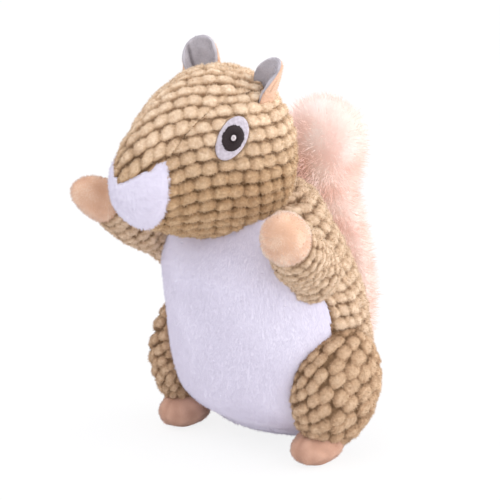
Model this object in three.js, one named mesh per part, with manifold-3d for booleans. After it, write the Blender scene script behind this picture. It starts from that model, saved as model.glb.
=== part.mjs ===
// A sitting plush squirrel, a squeaky dog toy: sewn fabric covers over fibre filling,
// with a bellows squeaker in the tummy.
// Millimetres, +Z up. The squirrel faces -Y, and its own left is +X. The origin is the middle of
// the small flat under its rump, where it sits.

import * as THREE from "three";
import { mergeVertices } from "three/addons/utils/BufferGeometryUtils.js";
import Module from "manifold-3d";

const wasm = await Module();
wasm.setup();

// Fabric and fits
const PLUSH = 2.6; // thickness of the tan and white plush covers
const VELOUR = 1.6; // thickness of the hand, foot and ear velour
const FUR_BACKING = 3; // thickness of the tail's cover
const SEAM = 0.3; // clearance between sewn pieces
const PLAY = 0.4; // clearance between pieces that move on each other
const SOCKET_PLAY = 0.9; // clearance of the hollows that the shoulders and the tail turn in
const REST_CUT = 0.5; // how deep the soft underside is flattened by sitting

// Torso, by height above the table: y of its middle, half width and half depth
const NECK_Y = -5; // the axis that the head turns about
const TORSO = [
  { z: -REST_CUT, y: 27, wide: 38, deep: 24 },
  { z: 11, y: 18, wide: 45, deep: 38 },
  { z: 28, y: 11, wide: 49, deep: 44.5 },
  { z: 52, y: 8, wide: 51.5, deep: 48.5 },
  { z: 78, y: 3, wide: 50, deep: 48 },
  { z: 96, y: -3, wide: 47, deep: 46.5 },
  { z: 110, y: NECK_Y, wide: 41.5, deep: 41.5 },
  { z: 124, y: NECK_Y, wide: 34, deep: 34 },
  { z: 140, y: NECK_Y, wide: 26, deep: 26 },
];
const TORSO_BOTTOM_ROUND = 22;
const TORSO_TOP_ROUND = 12;
const SEAT_Y = TORSO[0].y; // the rump's flat
const SIDE_SEAM_Y = -5; // the tummy panel ends here on both flanks
const CHEST_SEAM_Y = -34; // and here beside the neck
const ARM_SEAM_Z = 90; // its edge steps back at this height, under the arm
const ARM_SEAM_BEND = 13; // how far above and below the edge turns
const UNDER_SEAM_Z = 9; // and passes under the rump below this height
const UNDER_BEND = 34; // where the seam turns under the body

// Head, from the back of the skull to the nose: y, height of the middle, half width, half height
const HEAD_TURN = -10; // degrees, the head looks a little to its own right
const HEAD_Y = -21; // the middle of the skull, in front of the neck's axis
const HEAD_Z = 158;
const HEAD = [
  { y: 36, z: -3, wide: 33, tall: 35 },
  { y: 16, z: -2, wide: 38, tall: 41 },
  { y: -4, z: -1, wide: 39, tall: 42.5 },
  { y: -24, z: -2, wide: 33, tall: 38.5 },
  { y: -42, z: -4, wide: 22, tall: 30 },
  { y: -55, z: -7, wide: 16.5, tall: 22 },
  { y: -66, z: -10, wide: 13.5, tall: 16 },
];
const SKULL_ROUND = 30;
const NOSE_ROUND = 15;
const MUZZLE_SEAM_Y = -49; // the white muzzle starts here
const BRIDGE_TIP_Y = -65.5; // the tan wedge on the snout ends in a point here
const BRIDGE_TIP_Z = -7;
const BRIDGE_TIP = 0.6; // half width of that point
const GUSSET_SNOUT = 15.5; // half width of the forehead strip at the muzzle seam
const GUSSET_BROW = 20; // half width at the brow
const GUSSET_CROWN = 22; // half width between the ears
const GUSSET_NAPE = 13; // half width at the nape

// Eyes: embroidered ovals on a felt patch
const EYE = { x: 34, y: -20, z: 16.5 };
const EYE_TILT = 40; // degrees, the top leans back
const EYE_FACING = { x: 34, y: -10, z: 8 }; // the way the eye looks
const EYE_PATCH = { wide: 6.8, tall: 11.8, thick: 1 };
const EYE_IRIS = { wide: 5.6, tall: 7, thick: 0.6 };
const EYE_GLINT = { wide: 1.2, tall: 1.5, thick: 0.5 };

// Ears: two layers, cupped
const EAR = { x: 21, y: 4, z: 36 };
const EAR_WIDE = 20; // along the curve
const EAR_HIGH = 16.5;
const EAR_FOOT = 15; // width across its cut lower edge
const EAR_SHOULDER = 7.5; // height where its sides are fullest
const EAR_BULGE = 1; // how far the sides bulge there
const EAR_CUP = 9.5; // radius of the cup
const EAR_OPENS = 25; // degrees from straight ahead towards the head's middle
const EAR_LEAN = 20; // degrees outwards
const EAR_FOLD = 18; // degrees that it bends each way

// Arms
const SHOULDER = { x: 44, y: -13, z: 100 };
const HAND_TIP = { x: 62, y: -64, z: 141 };
const SHOULDER_BALL = 15;
const SHOULDER_AXIS = { x: 0.976, y: -0.217 }; // square to the flank, the left arm swings about it
const ARM_LIFT = 20; // degrees that an arm swings up from rest
const ARM_DROP = 40; // and down
const RIGHT_ARM_LOWER = 6; // degrees by which the right arm rests lower than the left
const ARM_WAIST = 13; // radius where the sleeve is gathered at the shoulder
const SLEEVE_R = 14.2;
const WRIST_R = 11.6;
const HAND_R = 11.8;
const WRIST_AT = 42; // from the shoulder along the arm
const HAND_FULL_AT = 50; // the hand is at its fullest here
const SLEEVE_MOUTH = 5; // radius of the sleeve's opening into the torso

// Haunches and feet
const HAUNCH = { x: 45, y: 3, z: 38.5 };
const HAUNCH_SIZE = { x: 17.5, y: 29, z: 32 };
const FOOT = { x: 43, y: -8, z: 8.5 };
const FOOT_SIZE = { x: 10.5, y: 15.5, z: 9 };

// Tail, from its root up the back: y, z, half width, half depth
const TAIL_ROOT = { y: 50, z: 21 };
const TAIL_BALL = 13;
const TAIL = [
  { y: 52, z: 16, wide: 12, deep: 11 },
  { y: 61, z: 34, wide: 17, deep: 10 },
  { y: 65.5, z: 56, wide: 19, deep: 10 },
  { y: 61, z: 88, wide: 18.5, deep: 11 },
  { y: 51, z: 118, wide: 17.5, deep: 13.5 },
  { y: 48, z: 142, wide: 23, deep: 19 },
  { y: 55, z: 166, wide: 19, deep: 17 },
];
const TAIL_ROOT_ROUND = 10;
const TAIL_TIP_ROUND = 17;
const TAIL_MOUTH = 6; // radius of the cover's opening into the torso

// Squeaker: a pleated bulb between two end discs, its axis front to back
const SQUEAKER = { y: -6, z: 64 };
const BULB_R = 20; // outside of the pleats
const PLEAT_DEPTH = 4;
const PLEATS = 3;
const PLEAT_PITCH = 6;
const BULB_WALL = 1;
const DISC_THICK = 2;
const DISC_LIP = 3; // how far a disc's rim sits inside the bulb's end collar
const REED_TUBE_R = 5;
const REED_TUBE_LONG = 8;
const REED_TUBE_WALL = 1.2;
const REED_FLANGE = 2; // how far the tube's flange stands out
const REED_THICK = 0.5;
const REED_WIDE = 3;
const POCKET_PLAY = 0.6; // clearance of the filling round the squeaker

const rad = THREE.MathUtils.degToRad;
const BIG = 400; // larger than the toy, for cutting tools
const RING_EASE = 0.65; // how much closer a stuffed form's rings lie near its ends

// Solids

/** A closed solid from a geometry, with shared corners merged and empty triangles dropped. */
function solidOf(geometry) {
  const bare = geometry.index ? geometry.clone() : mergeVertices(geometry);
  bare.deleteAttribute("normal");
  bare.deleteAttribute("uv");
  const merged = mergeVertices(bare, 1e-4);
  const index = merged.index.array;
  const triangles = [];
  for (let i = 0; i < index.length; i += 3) {
    const [a, b, c] = [index[i], index[i + 1], index[i + 2]];
    if (a !== b && b !== c && c !== a) triangles.push(a, b, c);
  }
  return new wasm.Manifold(
    new wasm.Mesh({
      numProp: 3,
      vertProperties: new Float32Array(merged.attributes.position.array),
      triVerts: new Uint32Array(triangles),
    }),
  );
}

/** A solid from a geometry moved by a matrix. */
const placed = (geometry, matrix) => solidOf(geometry.clone().applyMatrix4(matrix));

/** What is left of a solid after the others are taken away. */
const cut = (solid, ...others) => others.reduce((left, other) => left.subtract(other), solid);

/** A solid's surface as a geometry. */
function surfaceOf(solid) {
  const { vertProperties, triVerts } = solid.getMesh();
  const geometry = new THREE.BufferGeometry();
  geometry.setAttribute("position", new THREE.BufferAttribute(vertProperties, 3));
  geometry.setIndex(new THREE.BufferAttribute(triVerts, 1));
  return geometry;
}

/** A solid moved by a matrix. */
const moved = (solid, matrix) => placed(surfaceOf(solid), matrix);

/** A named mesh of a solid. */
function piece(name, solid, material) {
  const geometry = surfaceOf(solid);
  geometry.computeVertexNormals();
  const mesh = new THREE.Mesh(geometry, material);
  mesh.name = name;
  return mesh;
}

/** A box between two corners. */
function block(low, high) {
  const size = new THREE.Vector3().subVectors(high, low);
  const middle = new THREE.Vector3().addVectors(low, high).multiplyScalar(0.5);
  const box = new THREE.BoxGeometry(size.x, size.y, size.z);
  return placed(box, new THREE.Matrix4().makeTranslation(middle));
}

/** Everything on one side of a plane square to an axis. */
function sideOf(axis, from, upwards) {
  const low = new THREE.Vector3(-BIG, -BIG, -BIG);
  const high = new THREE.Vector3(BIG, BIG, BIG);
  (upwards ? low : high)[axis] = from;
  return block(low, high);
}

/**
 * A stuffed form: rounded at both ends, with oval rings along a spine. Each station gives the
 * spine's point and the ring's two half sizes. Rings lie across X and `across`, or square to the
 * spine where `across` is left out. `grow` makes every wall that much fuller, or thinner if below 0.
 */
function stuffed({ stations, across, startRound, endRound, sides, rings }, grow = 0) {
  const spine = new THREE.CatmullRomCurve3(stations.map((s) => s.at));
  const sizes = new THREE.CatmullRomCurve3(stations.map((s) => new THREE.Vector3(s.wide, s.tall, 0)));
  const long = spine.getLength();
  const sideways = new THREE.Vector3(1, 0, 0);
  const positions = [];
  const rounded = (inset, round) => Math.sqrt(1 - (1 - Math.min(inset / (round + grow), 1)) ** 2);
  for (let i = 0; i <= rings; i += 1) {
    const even = i / rings;
    const eased = (1 - Math.cos(Math.PI * even)) / 2;
    const along = -grow + (long + 2 * grow) * THREE.MathUtils.lerp(even, eased, RING_EASE);
    const u = THREE.MathUtils.clamp(along / long, 0, 1);
    const tangent = spine.getTangentAt(u);
    const centre = spine.getPointAt(u).addScaledVector(tangent, along - u * long);
    const size = sizes.getPoint(spine.getUtoTmapping(u));
    const ends = rounded(along + grow, startRound) * rounded(long + grow - along, endRound);
    const upright = across ?? new THREE.Vector3().crossVectors(tangent, sideways);
    const isPole = i === 0 || i === rings;
    for (let k = 0; k < (isPole ? 1 : sides); k += 1) {
      const angle = (2 * Math.PI * k) / sides;
      const point = centre.clone();
      if (!isPole) {
        point.addScaledVector(sideways, (size.x + grow) * ends * Math.cos(angle));
        point.addScaledVector(upright, (size.y + grow) * ends * Math.sin(angle));
      }
      positions.push(point.x, point.y, point.z);
    }
  }
  const geometry = new THREE.BufferGeometry();
  geometry.setAttribute("position", new THREE.Float32BufferAttribute(positions, 3));
  geometry.setIndex(ringFaces(sides, rings));
  const solid = solidOf(geometry);
  if (solid.volume() > 0) return solid;
  const index = geometry.index.array;
  for (let i = 0; i < index.length; i += 3) [index[i], index[i + 1]] = [index[i + 1], index[i]];
  return solidOf(geometry);
}

/** Triangles that join a first pole, rings of `sides` points and a last pole. */
function ringFaces(sides, rings) {
  const faces = [];
  const at = (ring, k) => 1 + (ring - 1) * sides + (k % sides);
  const last = 1 + (rings - 1) * sides;
  for (let k = 0; k < sides; k += 1) {
    faces.push(0, at(1, k + 1), at(1, k));
    faces.push(last, at(rings - 1, k), at(rings - 1, k + 1));
  }
  for (let ring = 1; ring < rings - 1; ring += 1) {
    for (let k = 0; k < sides; k += 1) {
      const [a, b, c, d] = [at(ring, k), at(ring, k + 1), at(ring + 1, k + 1), at(ring + 1, k)];
      faces.push(a, b, c, a, c, d);
    }
  }
  return faces;
}

/** A turned solid about local Z from a closed profile of [radius, height] points. */
function turned(profile, segments) {
  const points = profile.map(([r, z]) => new THREE.Vector2(r, z));
  const lathe = new THREE.LatheGeometry(points, segments);
  lathe.rotateX(Math.PI / 2);
  const solid = solidOf(lathe);
  if (solid.volume() > 0) return solid;
  return turned([...profile].reverse(), segments);
}

/** An egg-shaped solid with three half sizes. */
function ellipsoid(at, size, sides, rings, grow = 0) {
  const ball = new THREE.SphereGeometry(1, sides, rings);
  ball.rotateX(Math.PI / 2);
  ball.scale(size.x + grow, size.y + grow, size.z + grow);
  return placed(ball, new THREE.Matrix4().makeTranslation(at.x, at.y, at.z));
}

/** A prism: an outline in the Y-Z plane, carried across X from one place to another. */
function sidePrism(outline, fromX, toX) {
  const shape = new THREE.Shape(outline.map(([y, z]) => new THREE.Vector2(y, z)));
  const prism = new THREE.ExtrudeGeometry(shape, { depth: toX - fromX, bevelEnabled: false });
  const axes = new THREE.Matrix4().makeBasis(
    new THREE.Vector3(0, 1, 0),
    new THREE.Vector3(0, 0, 1),
    new THREE.Vector3(1, 0, 0),
  );
  return placed(prism, axes.setPosition(fromX, 0, 0));
}

// Materials

const finish = (color, roughness) => new THREE.MeshStandardMaterial({ color, roughness, metalness: 0 });
const tanPlush = finish(0xcdaa80, 0.95);
const whitePlush = finish(0xe4e1ee, 0.95);
const peachVelour = finish(0xeabf98, 0.9);
const greyVelour = finish(0xb0aab0, 0.9);
const pinkFur = finish(0xf0d2c9, 0.95);
const whiteFelt = finish(0xdcd4e0, 0.9);
const darkThread = finish(0x2a1c20, 0.5);
const whiteThread = finish(0xe8e2e4, 0.5);
const fibre = finish(0xf4f4f2, 1);
const softPlastic = finish(0xdfe6ea, 0.4);
const hardPlastic = finish(0xf6f6f0, 0.35);

// Torso

const torsoForm = {
  stations: TORSO.map(({ z, y, wide, deep }) => ({ at: new THREE.Vector3(0, y, z), wide, tall: deep })),
  across: new THREE.Vector3(0, 1, 0),
  startRound: TORSO_BOTTOM_ROUND,
  endRound: TORSO_TOP_ROUND,
  sides: 22,
  rings: 11,
};
const torso = (grow) => stuffed(torsoForm, grow);

/** The tummy panel's region seen from the side, grown by a seam's width. */
function tummyRegion(grow) {
  const flank = SIDE_SEAM_Y + grow;
  const chest = CHEST_SEAM_Y + grow;
  const arm = ARM_SEAM_Z + grow;
  const under = UNDER_SEAM_Z + grow;
  const step = new THREE.CubicBezierCurve(
    new THREE.Vector2(chest, arm + ARM_SEAM_BEND),
    new THREE.Vector2(chest, arm),
    new THREE.Vector2(flank, arm),
    new THREE.Vector2(flank, arm - ARM_SEAM_BEND),
  );
  const bend = new THREE.QuadraticBezierCurve(
    new THREE.Vector2(flank, UNDER_BEND),
    new THREE.Vector2(flank, under),
    new THREE.Vector2(UNDER_BEND, under),
  );
  const edge = [...step.getPoints(6), ...bend.getPoints(6)];
  const outline = [[chest, BIG], ...edge.map((p) => [p.x, p.y])];
  outline.push([BIG, under], [BIG, -BIG], [-BIG, -BIG], [-BIG, BIG]);
  return sidePrism(outline, -BIG, BIG);
}

/** Hollows in the torso that the shoulders and the tail's root turn in. */
function torsoSockets(grow = 0) {
  const sockets = [];
  for (const side of [1, -1]) {
    const at = { ...SHOULDER, x: side * SHOULDER.x };
    const size = { x: SHOULDER_BALL, y: SHOULDER_BALL, z: SHOULDER_BALL };
    sockets.push(ellipsoid(at, size, 14, 8, SOCKET_PLAY + grow));
  }
  const root = { x: 0, ...TAIL_ROOT };
  sockets.push(ellipsoid(root, { x: TAIL_BALL, y: TAIL_BALL, z: TAIL_BALL }, 14, 8, SOCKET_PLAY + grow));
  return sockets;
}

const ground = sideOf("z", 0, false);
const seatedTorso = cut(torso(0), ground, ...torsoSockets());

/** The torso's three covers. */
function torsoCovers() {
  const hollow = cut(torso(-PLUSH), sideOf("z", PLUSH, false));
  const skin = cut(seatedTorso, hollow);
  const tan = cut(skin, tummyRegion(SEAM));
  return [
    piece("tummy_panel", skin.intersect(tummyRegion(0)), whitePlush),
    piece("torso_left_panel", tan.intersect(sideOf("x", SEAM / 2, true)), tanPlush),
    piece("torso_right_panel", tan.intersect(sideOf("x", -SEAM / 2, false)), tanPlush),
  ];
}

// Squeaker, built about local Z with its moving face at the top

const bulbLong = PLEATS * PLEAT_PITCH;
const collarLong = DISC_THICK + DISC_LIP;
const collarR = BULB_R - PLEAT_DEPTH;
const discR = collarR - BULB_WALL - SEAM;
const squeakerLong = bulbLong + 2 * collarLong;

/** The pleated wall, with a plain collar at each end. */
function squeakerBulb() {
  const outer = [[collarR, 0], [collarR, collarLong]];
  for (let i = 0; i < PLEATS; i += 1) {
    const foot = collarLong + i * PLEAT_PITCH;
    outer.push([BULB_R, foot + PLEAT_PITCH / 2], [collarR, foot + PLEAT_PITCH]);
  }
  outer.push([collarR, squeakerLong]);
  const inner = outer.map(([r, z]) => [r - BULB_WALL, z]).reverse();
  return turned([...outer, ...inner, outer[0]], 20);
}

/** The disc that closes the front of the bulb and moves when the tummy is squeezed. */
function squeakerFace() {
  const top = squeakerLong + SEAM + DISC_THICK;
  const seat = squeakerLong + SEAM;
  const profile = [[0, seat - DISC_LIP], [discR, seat - DISC_LIP], [discR, seat], [collarR, seat]];
  return turned([...profile, [collarR, top], [0, top]], 20);
}

/** The fixed disc at the back, with a hole for the reed's tube. */
function squeakerBase() {
  const hole = REED_TUBE_R + SEAM;
  const profile = [[hole, -SEAM - DISC_THICK], [collarR, -SEAM - DISC_THICK], [collarR, -SEAM]];
  profile.push([discR, -SEAM], [discR, DISC_LIP], [hole, DISC_LIP], profile[0]);
  return turned(profile, 20);
}

/** The tube that holds the reed: flanged outside the base, slotted across for the reed. */
function reedTube() {
  const bottom = -SEAM - DISC_THICK - SEAM - REED_FLANGE;
  const seat = bottom + REED_FLANGE;
  const top = seat + REED_TUBE_LONG;
  const bore = REED_TUBE_R - REED_TUBE_WALL;
  const profile = [[bore, bottom], [REED_TUBE_R + REED_FLANGE, bottom], [REED_TUBE_R + REED_FLANGE, seat]];
  profile.push([REED_TUBE_R, seat], [REED_TUBE_R, top], [bore, top], profile[0]);
  const slotHalf = new THREE.Vector3(REED_WIDE / 2 + SEAM, BIG, REED_THICK / 2 + SEAM);
  const slot = block(slotHalf.clone().negate(), slotHalf);
  return cut(turned(profile, 14), slot);
}

/** The thin reed, clamped in the tube's slot and free across the bore. */
function reed() {
  const half = new THREE.Vector3(REED_WIDE / 2, REED_TUBE_R - SEAM, REED_THICK / 2);
  return block(half.clone().negate(), half);
}

/** The filling's hollow that the squeaker lies in. */
function squeakerPocket() {
  const back = -2 * SEAM - DISC_THICK - REED_FLANGE - POCKET_PLAY;
  const front = squeakerLong + SEAM + DISC_THICK + POCKET_PLAY;
  const pocketR = BULB_R + POCKET_PLAY;
  return turned([[0, back], [pocketR, back], [pocketR, front], [0, front]], 20);
}

const squeakerPlace = new THREE.Matrix4()
  .makeRotationX(Math.PI / 2)
  .setPosition(0, SQUEAKER.y + squeakerLong / 2, SQUEAKER.z);

function squeaker() {
  const group = new THREE.Group();
  group.applyMatrix4(squeakerPlace);
  group.add(
    piece("squeaker_bulb", squeakerBulb(), softPlastic),
    piece("squeaker_face", squeakerFace(), softPlastic),
    piece("squeaker_base", squeakerBase(), softPlastic),
    piece("reed_tube", reedTube(), hardPlastic),
    piece("reed", reed(), hardPlastic),
  );
  return group;
}

/** The torso's filling, in two halves that close round the squeaker. */
function torsoFilling() {
  const pocket = moved(squeakerPocket(), squeakerPlace);
  const inner = -PLUSH - SEAM;
  const floor = sideOf("z", PLUSH + SEAM, false);
  const filling = cut(torso(inner), floor, pocket, ...torsoSockets(SEAM));
  return [
    piece("torso_filling_front", filling.intersect(sideOf("y", SQUEAKER.y - SEAM / 2, false)), fibre),
    piece("torso_filling_back", filling.intersect(sideOf("y", SQUEAKER.y + SEAM / 2, true)), fibre),
  ];
}

// Haunches and feet

function leg(side, name) {
  const at = { ...HAUNCH, x: side * HAUNCH.x };
  const haunch = (grow) => ellipsoid(at, HAUNCH_SIZE, 14, 9, grow);
  const outside = torso(SEAM);
  const foot = ellipsoid({ ...FOOT, x: side * FOOT.x }, FOOT_SIZE, 14, 8);
  const cover = cut(haunch(0), haunch(-PLUSH), outside, ground);
  const filling = cut(haunch(-PLUSH - SEAM), outside, ground);
  return [
    piece(`${name}_haunch_cover`, cover, tanPlush),
    piece(`${name}_haunch_filling`, filling, fibre),
    piece(`${name}_foot`, cut(foot, haunch(SEAM), outside, ground), peachVelour),
  ];
}

// Arms, built along local Z from the shoulder

const armReach = new THREE.Vector3(
  HAND_TIP.x - SHOULDER.x,
  HAND_TIP.y - SHOULDER.y,
  HAND_TIP.z - SHOULDER.z,
);
const armLong = armReach.length();
const waistAt = Math.sqrt(SHOULDER_BALL ** 2 - ARM_WAIST ** 2);

/** The arm's outside as [radius, place along the arm], thinner by `inset`, from the ball to the tip. */
function armProfile(inset) {
  const profile = [];
  const ball = SHOULDER_BALL - inset;
  const waistAngle = Math.acos(waistAt / SHOULDER_BALL);
  const ballSteps = 4;
  for (let i = 0; i <= ballSteps; i += 1) {
    const angle = Math.PI + ((waistAngle - Math.PI) * i) / ballSteps;
    profile.push([ball * Math.sin(angle), ball * Math.cos(angle)]);
  }
  const middle = (waistAt + WRIST_AT) / 2;
  const swell = new THREE.SplineCurve([
    new THREE.Vector2(ARM_WAIST, waistAt + 2),
    new THREE.Vector2(SLEEVE_R, middle),
    new THREE.Vector2(WRIST_R, WRIST_AT),
    new THREE.Vector2(HAND_R, HAND_FULL_AT),
  ]);
  const swellSteps = 5;
  for (const p of swell.getPoints(swellSteps)) profile.push([p.x - inset, p.y]);
  const domeSteps = 4;
  const dome = armLong - inset - HAND_FULL_AT;
  for (let i = 1; i <= domeSteps; i += 1) {
    const angle = (Math.PI / 2) * (i / domeSteps);
    const radius = i === domeSteps ? 0 : (HAND_R - inset) * Math.cos(angle);
    profile.push([radius, HAND_FULL_AT + dome * Math.sin(angle)]);
  }
  profile[0][0] = 0;
  return profile;
}

/** The torso, but for a shoulder's hollow, as the arm meets it at places in its swing, seen from the arm. */
function torsoBesideArm(side, axis, fromTorso) {
  const shoulder = new THREE.Vector3(side * SHOULDER.x, SHOULDER.y, SHOULDER.z);
  const ballSize = { x: SHOULDER_BALL, y: SHOULDER_BALL, z: SHOULDER_BALL };
  const body = cut(torso(PLAY), ellipsoid(shoulder, ballSize, 14, 8, PLAY));
  return [-ARM_LIFT, 0, ARM_DROP / 2, ARM_DROP].map((angle) => {
    const back = new THREE.Matrix4().makeRotationAxis(axis, rad(-angle));
    const swing = new THREE.Matrix4().makeTranslation(shoulder).multiply(back);
    swing.multiply(new THREE.Matrix4().makeTranslation(shoulder.negate()));
    shoulder.negate();
    return moved(body, fromTorso.clone().multiply(swing));
  });
}

function arm(side, name) {
  const group = new THREE.Group();
  group.position.set(side * SHOULDER.x, SHOULDER.y, SHOULDER.z);
  const axis = new THREE.Vector3(SHOULDER_AXIS.x, side * SHOULDER_AXIS.y, 0).normalize();
  const reach = armReach.clone();
  reach.x *= side;
  if (side < 0) reach.applyAxisAngle(axis, rad(RIGHT_ARM_LOWER));
  group.quaternion.setFromUnitVectors(new THREE.Vector3(0, 0, 1), reach.normalize());
  group.updateMatrix();
  const beside = torsoBesideArm(side, axis, group.matrix.clone().invert());
  const sides = 12;
  const whole = turned(armProfile(0), sides);
  const hollow = turned(armProfile(VELOUR), sides);
  const mouth = turned([[0, -BIG], [SLEEVE_MOUTH, -BIG], [SLEEVE_MOUTH, 0], [0, 0]], sides);
  const cover = cut(whole, hollow);
  group.add(
    piece(`${name}_sleeve`, cut(cover, mouth, sideOf("z", WRIST_AT, true), ...beside), tanPlush),
    piece(`${name}_hand`, cover.intersect(sideOf("z", WRIST_AT + SEAM, true)), peachVelour),
    piece(`${name}_arm_filling`, cut(turned(armProfile(VELOUR + SEAM), sides), ...beside), fibre),
  );
  return group;
}

// Head, built about a point on the neck's turning axis

const headForm = {
  stations: HEAD.map(({ y, z, wide, tall }) => ({
    at: new THREE.Vector3(0, HEAD_Y + y, z),
    wide,
    tall,
  })),
  across: new THREE.Vector3(0, 0, 1),
  startRound: SKULL_ROUND,
  endRound: NOSE_ROUND,
  sides: 22,
  rings: 11,
};
const head = (grow) => stuffed(headForm, grow);
const neckRecess = (grow) => {
  const lowered = torsoForm.stations.map((s) => ({
    ...s,
    at: s.at.clone().sub(new THREE.Vector3(0, NECK_Y, HEAD_Z)),
  }));
  return stuffed({ ...torsoForm, stations: lowered }, grow);
};

/** The forehead strip seen from above, from the point on the snout back to the nape. */
function gussetRegion(grow) {
  const half = [
    [BRIDGE_TIP, BRIDGE_TIP_Y],
    [GUSSET_SNOUT, MUZZLE_SEAM_Y],
    [GUSSET_BROW, HEAD[3].y],
    [GUSSET_CROWN, EAR.y],
    [GUSSET_NAPE, HEAD[0].y],
  ];
  const left = half.map(([x, y]) => new THREE.Vector2(x + grow, HEAD_Y + y - grow));
  const back = new THREE.Vector2(GUSSET_NAPE + grow, BIG);
  const mirrored = [back, ...[...left].reverse()].map((p) => new THREE.Vector2(-p.x, p.y));
  const shape = new THREE.Shape([...left, back, ...mirrored]);
  const prism = new THREE.ExtrudeGeometry(shape, { depth: BIG, bevelEnabled: false });
  return placed(prism, new THREE.Matrix4().makeTranslation(0, 0, BRIDGE_TIP_Z - grow));
}

function headCovers() {
  const skin = cut(head(0), head(-PLUSH), neckRecess(PLAY));
  const gusset = gussetRegion(0);
  const beside = cut(skin, gussetRegion(SEAM));
  const muzzleFront = HEAD_Y + MUZZLE_SEAM_Y;
  const cheeks = beside.intersect(sideOf("y", muzzleFront + SEAM, true));
  return [
    piece("head_gusset", skin.intersect(gusset), tanPlush),
    piece("muzzle_panel", beside.intersect(sideOf("y", muzzleFront, false)), whitePlush),
    piece("head_left_panel", cheeks.intersect(sideOf("x", SEAM / 2, true)), tanPlush),
    piece("head_right_panel", cheeks.intersect(sideOf("x", -SEAM / 2, false)), tanPlush),
    piece("head_filling", cut(head(-PLUSH - SEAM), neckRecess(PLAY)), fibre),
  ];
}

/** One eye: a felt patch with an embroidered iris and a glint on it, curved to the head. */
function eye(side, name) {
  const at = new THREE.Vector3(side * EYE.x, HEAD_Y + EYE.y, EYE.z);
  const facing = new THREE.Vector3(side * EYE_FACING.x, EYE_FACING.y, EYE_FACING.z).normalize();
  const upright = new THREE.Vector3(0, Math.sin(rad(EYE_TILT)), Math.cos(rad(EYE_TILT)));
  const across = new THREE.Vector3().crossVectors(facing, upright).normalize();
  const tall = new THREE.Vector3().crossVectors(across, facing);
  const place = new THREE.Matrix4().makeBasis(across, facing, tall).setPosition(at);
  const layer = ({ wide, tall: high, thick }, from) => {
    const plug = new THREE.CylinderGeometry(1, 1, EYE.x, 18);
    plug.scale(wide, 1, high);
    return cut(head(from + thick), head(from)).intersect(placed(plug, place));
  };
  const irisFrom = SEAM + EYE_PATCH.thick + SEAM;
  const glintFrom = irisFrom + EYE_IRIS.thick + SEAM;
  return [
    piece(`${name}_eye_patch`, layer(EYE_PATCH, SEAM), whiteFelt),
    piece(`${name}_eye_iris`, layer(EYE_IRIS, irisFrom), darkThread),
    piece(`${name}_eye_glint`, layer(EYE_GLINT, glintFrom), whiteThread),
  ];
}

/** One layer of an ear: a leaf cupped towards -Y, between two radii of the cup. */
function earLeaf(innerR, outerR) {
  const leaf = new THREE.Shape();
  const half = EAR_WIDE / 2;
  const foot = EAR_FOOT / 2;
  const side = half + EAR_BULGE;
  leaf.moveTo(-foot, -half);
  leaf.lineTo(foot, -half);
  leaf.bezierCurveTo(side, EAR_SHOULDER, foot, EAR_HIGH, 0, EAR_HIGH);
  leaf.bezierCurveTo(-foot, EAR_HIGH, -side, EAR_SHOULDER, -foot, -half);
  const plug = new THREE.ExtrudeGeometry(leaf, { depth: BIG, bevelEnabled: false, curveSegments: 8 });
  plug.rotateX(Math.PI / 2);
  plug.translate(0, BIG, 0);
  const profile = [[innerR, -BIG], [outerR, -BIG], [outerR, BIG], [innerR, BIG], [innerR, -BIG]];
  return turned(profile, 36).intersect(solidOf(plug));
}

function ear(side, name) {
  const group = new THREE.Group();
  group.position.set(side * EAR.x, HEAD_Y + EAR.y, EAR.z);
  group.rotation.set(0, rad(side * EAR_LEAN), rad(-side * EAR_OPENS), "YZX");
  group.updateMatrix();
  const clearances = [-EAR_FOLD, 0, EAR_FOLD].map((angle) => {
    const fold = new THREE.Matrix4().makeRotationX(rad(angle));
    const toEar = fold.multiply(group.matrix.clone().invert());
    return moved(head(PLAY), toEar);
  });
  const front = earLeaf(EAR_CUP - VELOUR, EAR_CUP);
  const rear = earLeaf(EAR_CUP + SEAM, EAR_CUP + SEAM + VELOUR);
  group.add(
    piece(`${name}_ear_front`, cut(front, ...clearances), greyVelour),
    piece(`${name}_ear_back`, cut(rear, ...clearances), peachVelour),
  );
  return group;
}

// Tail

const tailForm = {
  stations: TAIL.map(({ y, z, wide, deep }) => ({ at: new THREE.Vector3(0, y, z), wide, tall: deep })),
  startRound: TAIL_ROOT_ROUND,
  endRound: TAIL_TIP_ROUND,
  sides: 14,
  rings: 10,
};

function tail() {
  const root = new THREE.Vector3(0, TAIL_ROOT.y, TAIL_ROOT.z);
  const ballSize = { x: TAIL_BALL, y: TAIL_BALL, z: TAIL_BALL };
  const ball = (grow) => ellipsoid(root, ballSize, 14, 8, grow);
  const outside = cut(torso(PLAY), ball(PLAY));
  const bore = turned([[0, 0], [TAIL_MOUTH, 0], [TAIL_MOUTH, BIG], [0, BIG]], 16);
  const mouth = moved(bore, new THREE.Matrix4().makeRotationX(Math.PI / 2).setPosition(root));
  const whole = (inset) => stuffed(tailForm, -inset).add(ball(-inset));
  return [
    piece("tail_cover", cut(whole(0), outside, whole(FUR_BACKING), mouth), pinkFur),
    piece("tail_filling", cut(whole(FUR_BACKING + SEAM), torso(PLAY + SEAM)), fibre),
  ];
}

// Assembly

const squirrel = new THREE.Group();
squirrel.position.y = -SEAT_Y;
squirrel.add(...torsoCovers(), ...torsoFilling(), squeaker(), ...tail());

const headGroup = new THREE.Group();
headGroup.position.set(0, NECK_Y, HEAD_Z);
headGroup.rotation.z = rad(HEAD_TURN);
headGroup.add(...headCovers());

for (const [side, name] of [[1, "left"], [-1, "right"]]) {
  squirrel.add(...leg(side, name), arm(side, name));
  headGroup.add(...eye(side, name), ear(side, name));
}
squirrel.add(headGroup);

const toy = new THREE.Group();
toy.add(squirrel);

export default toy;
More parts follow.
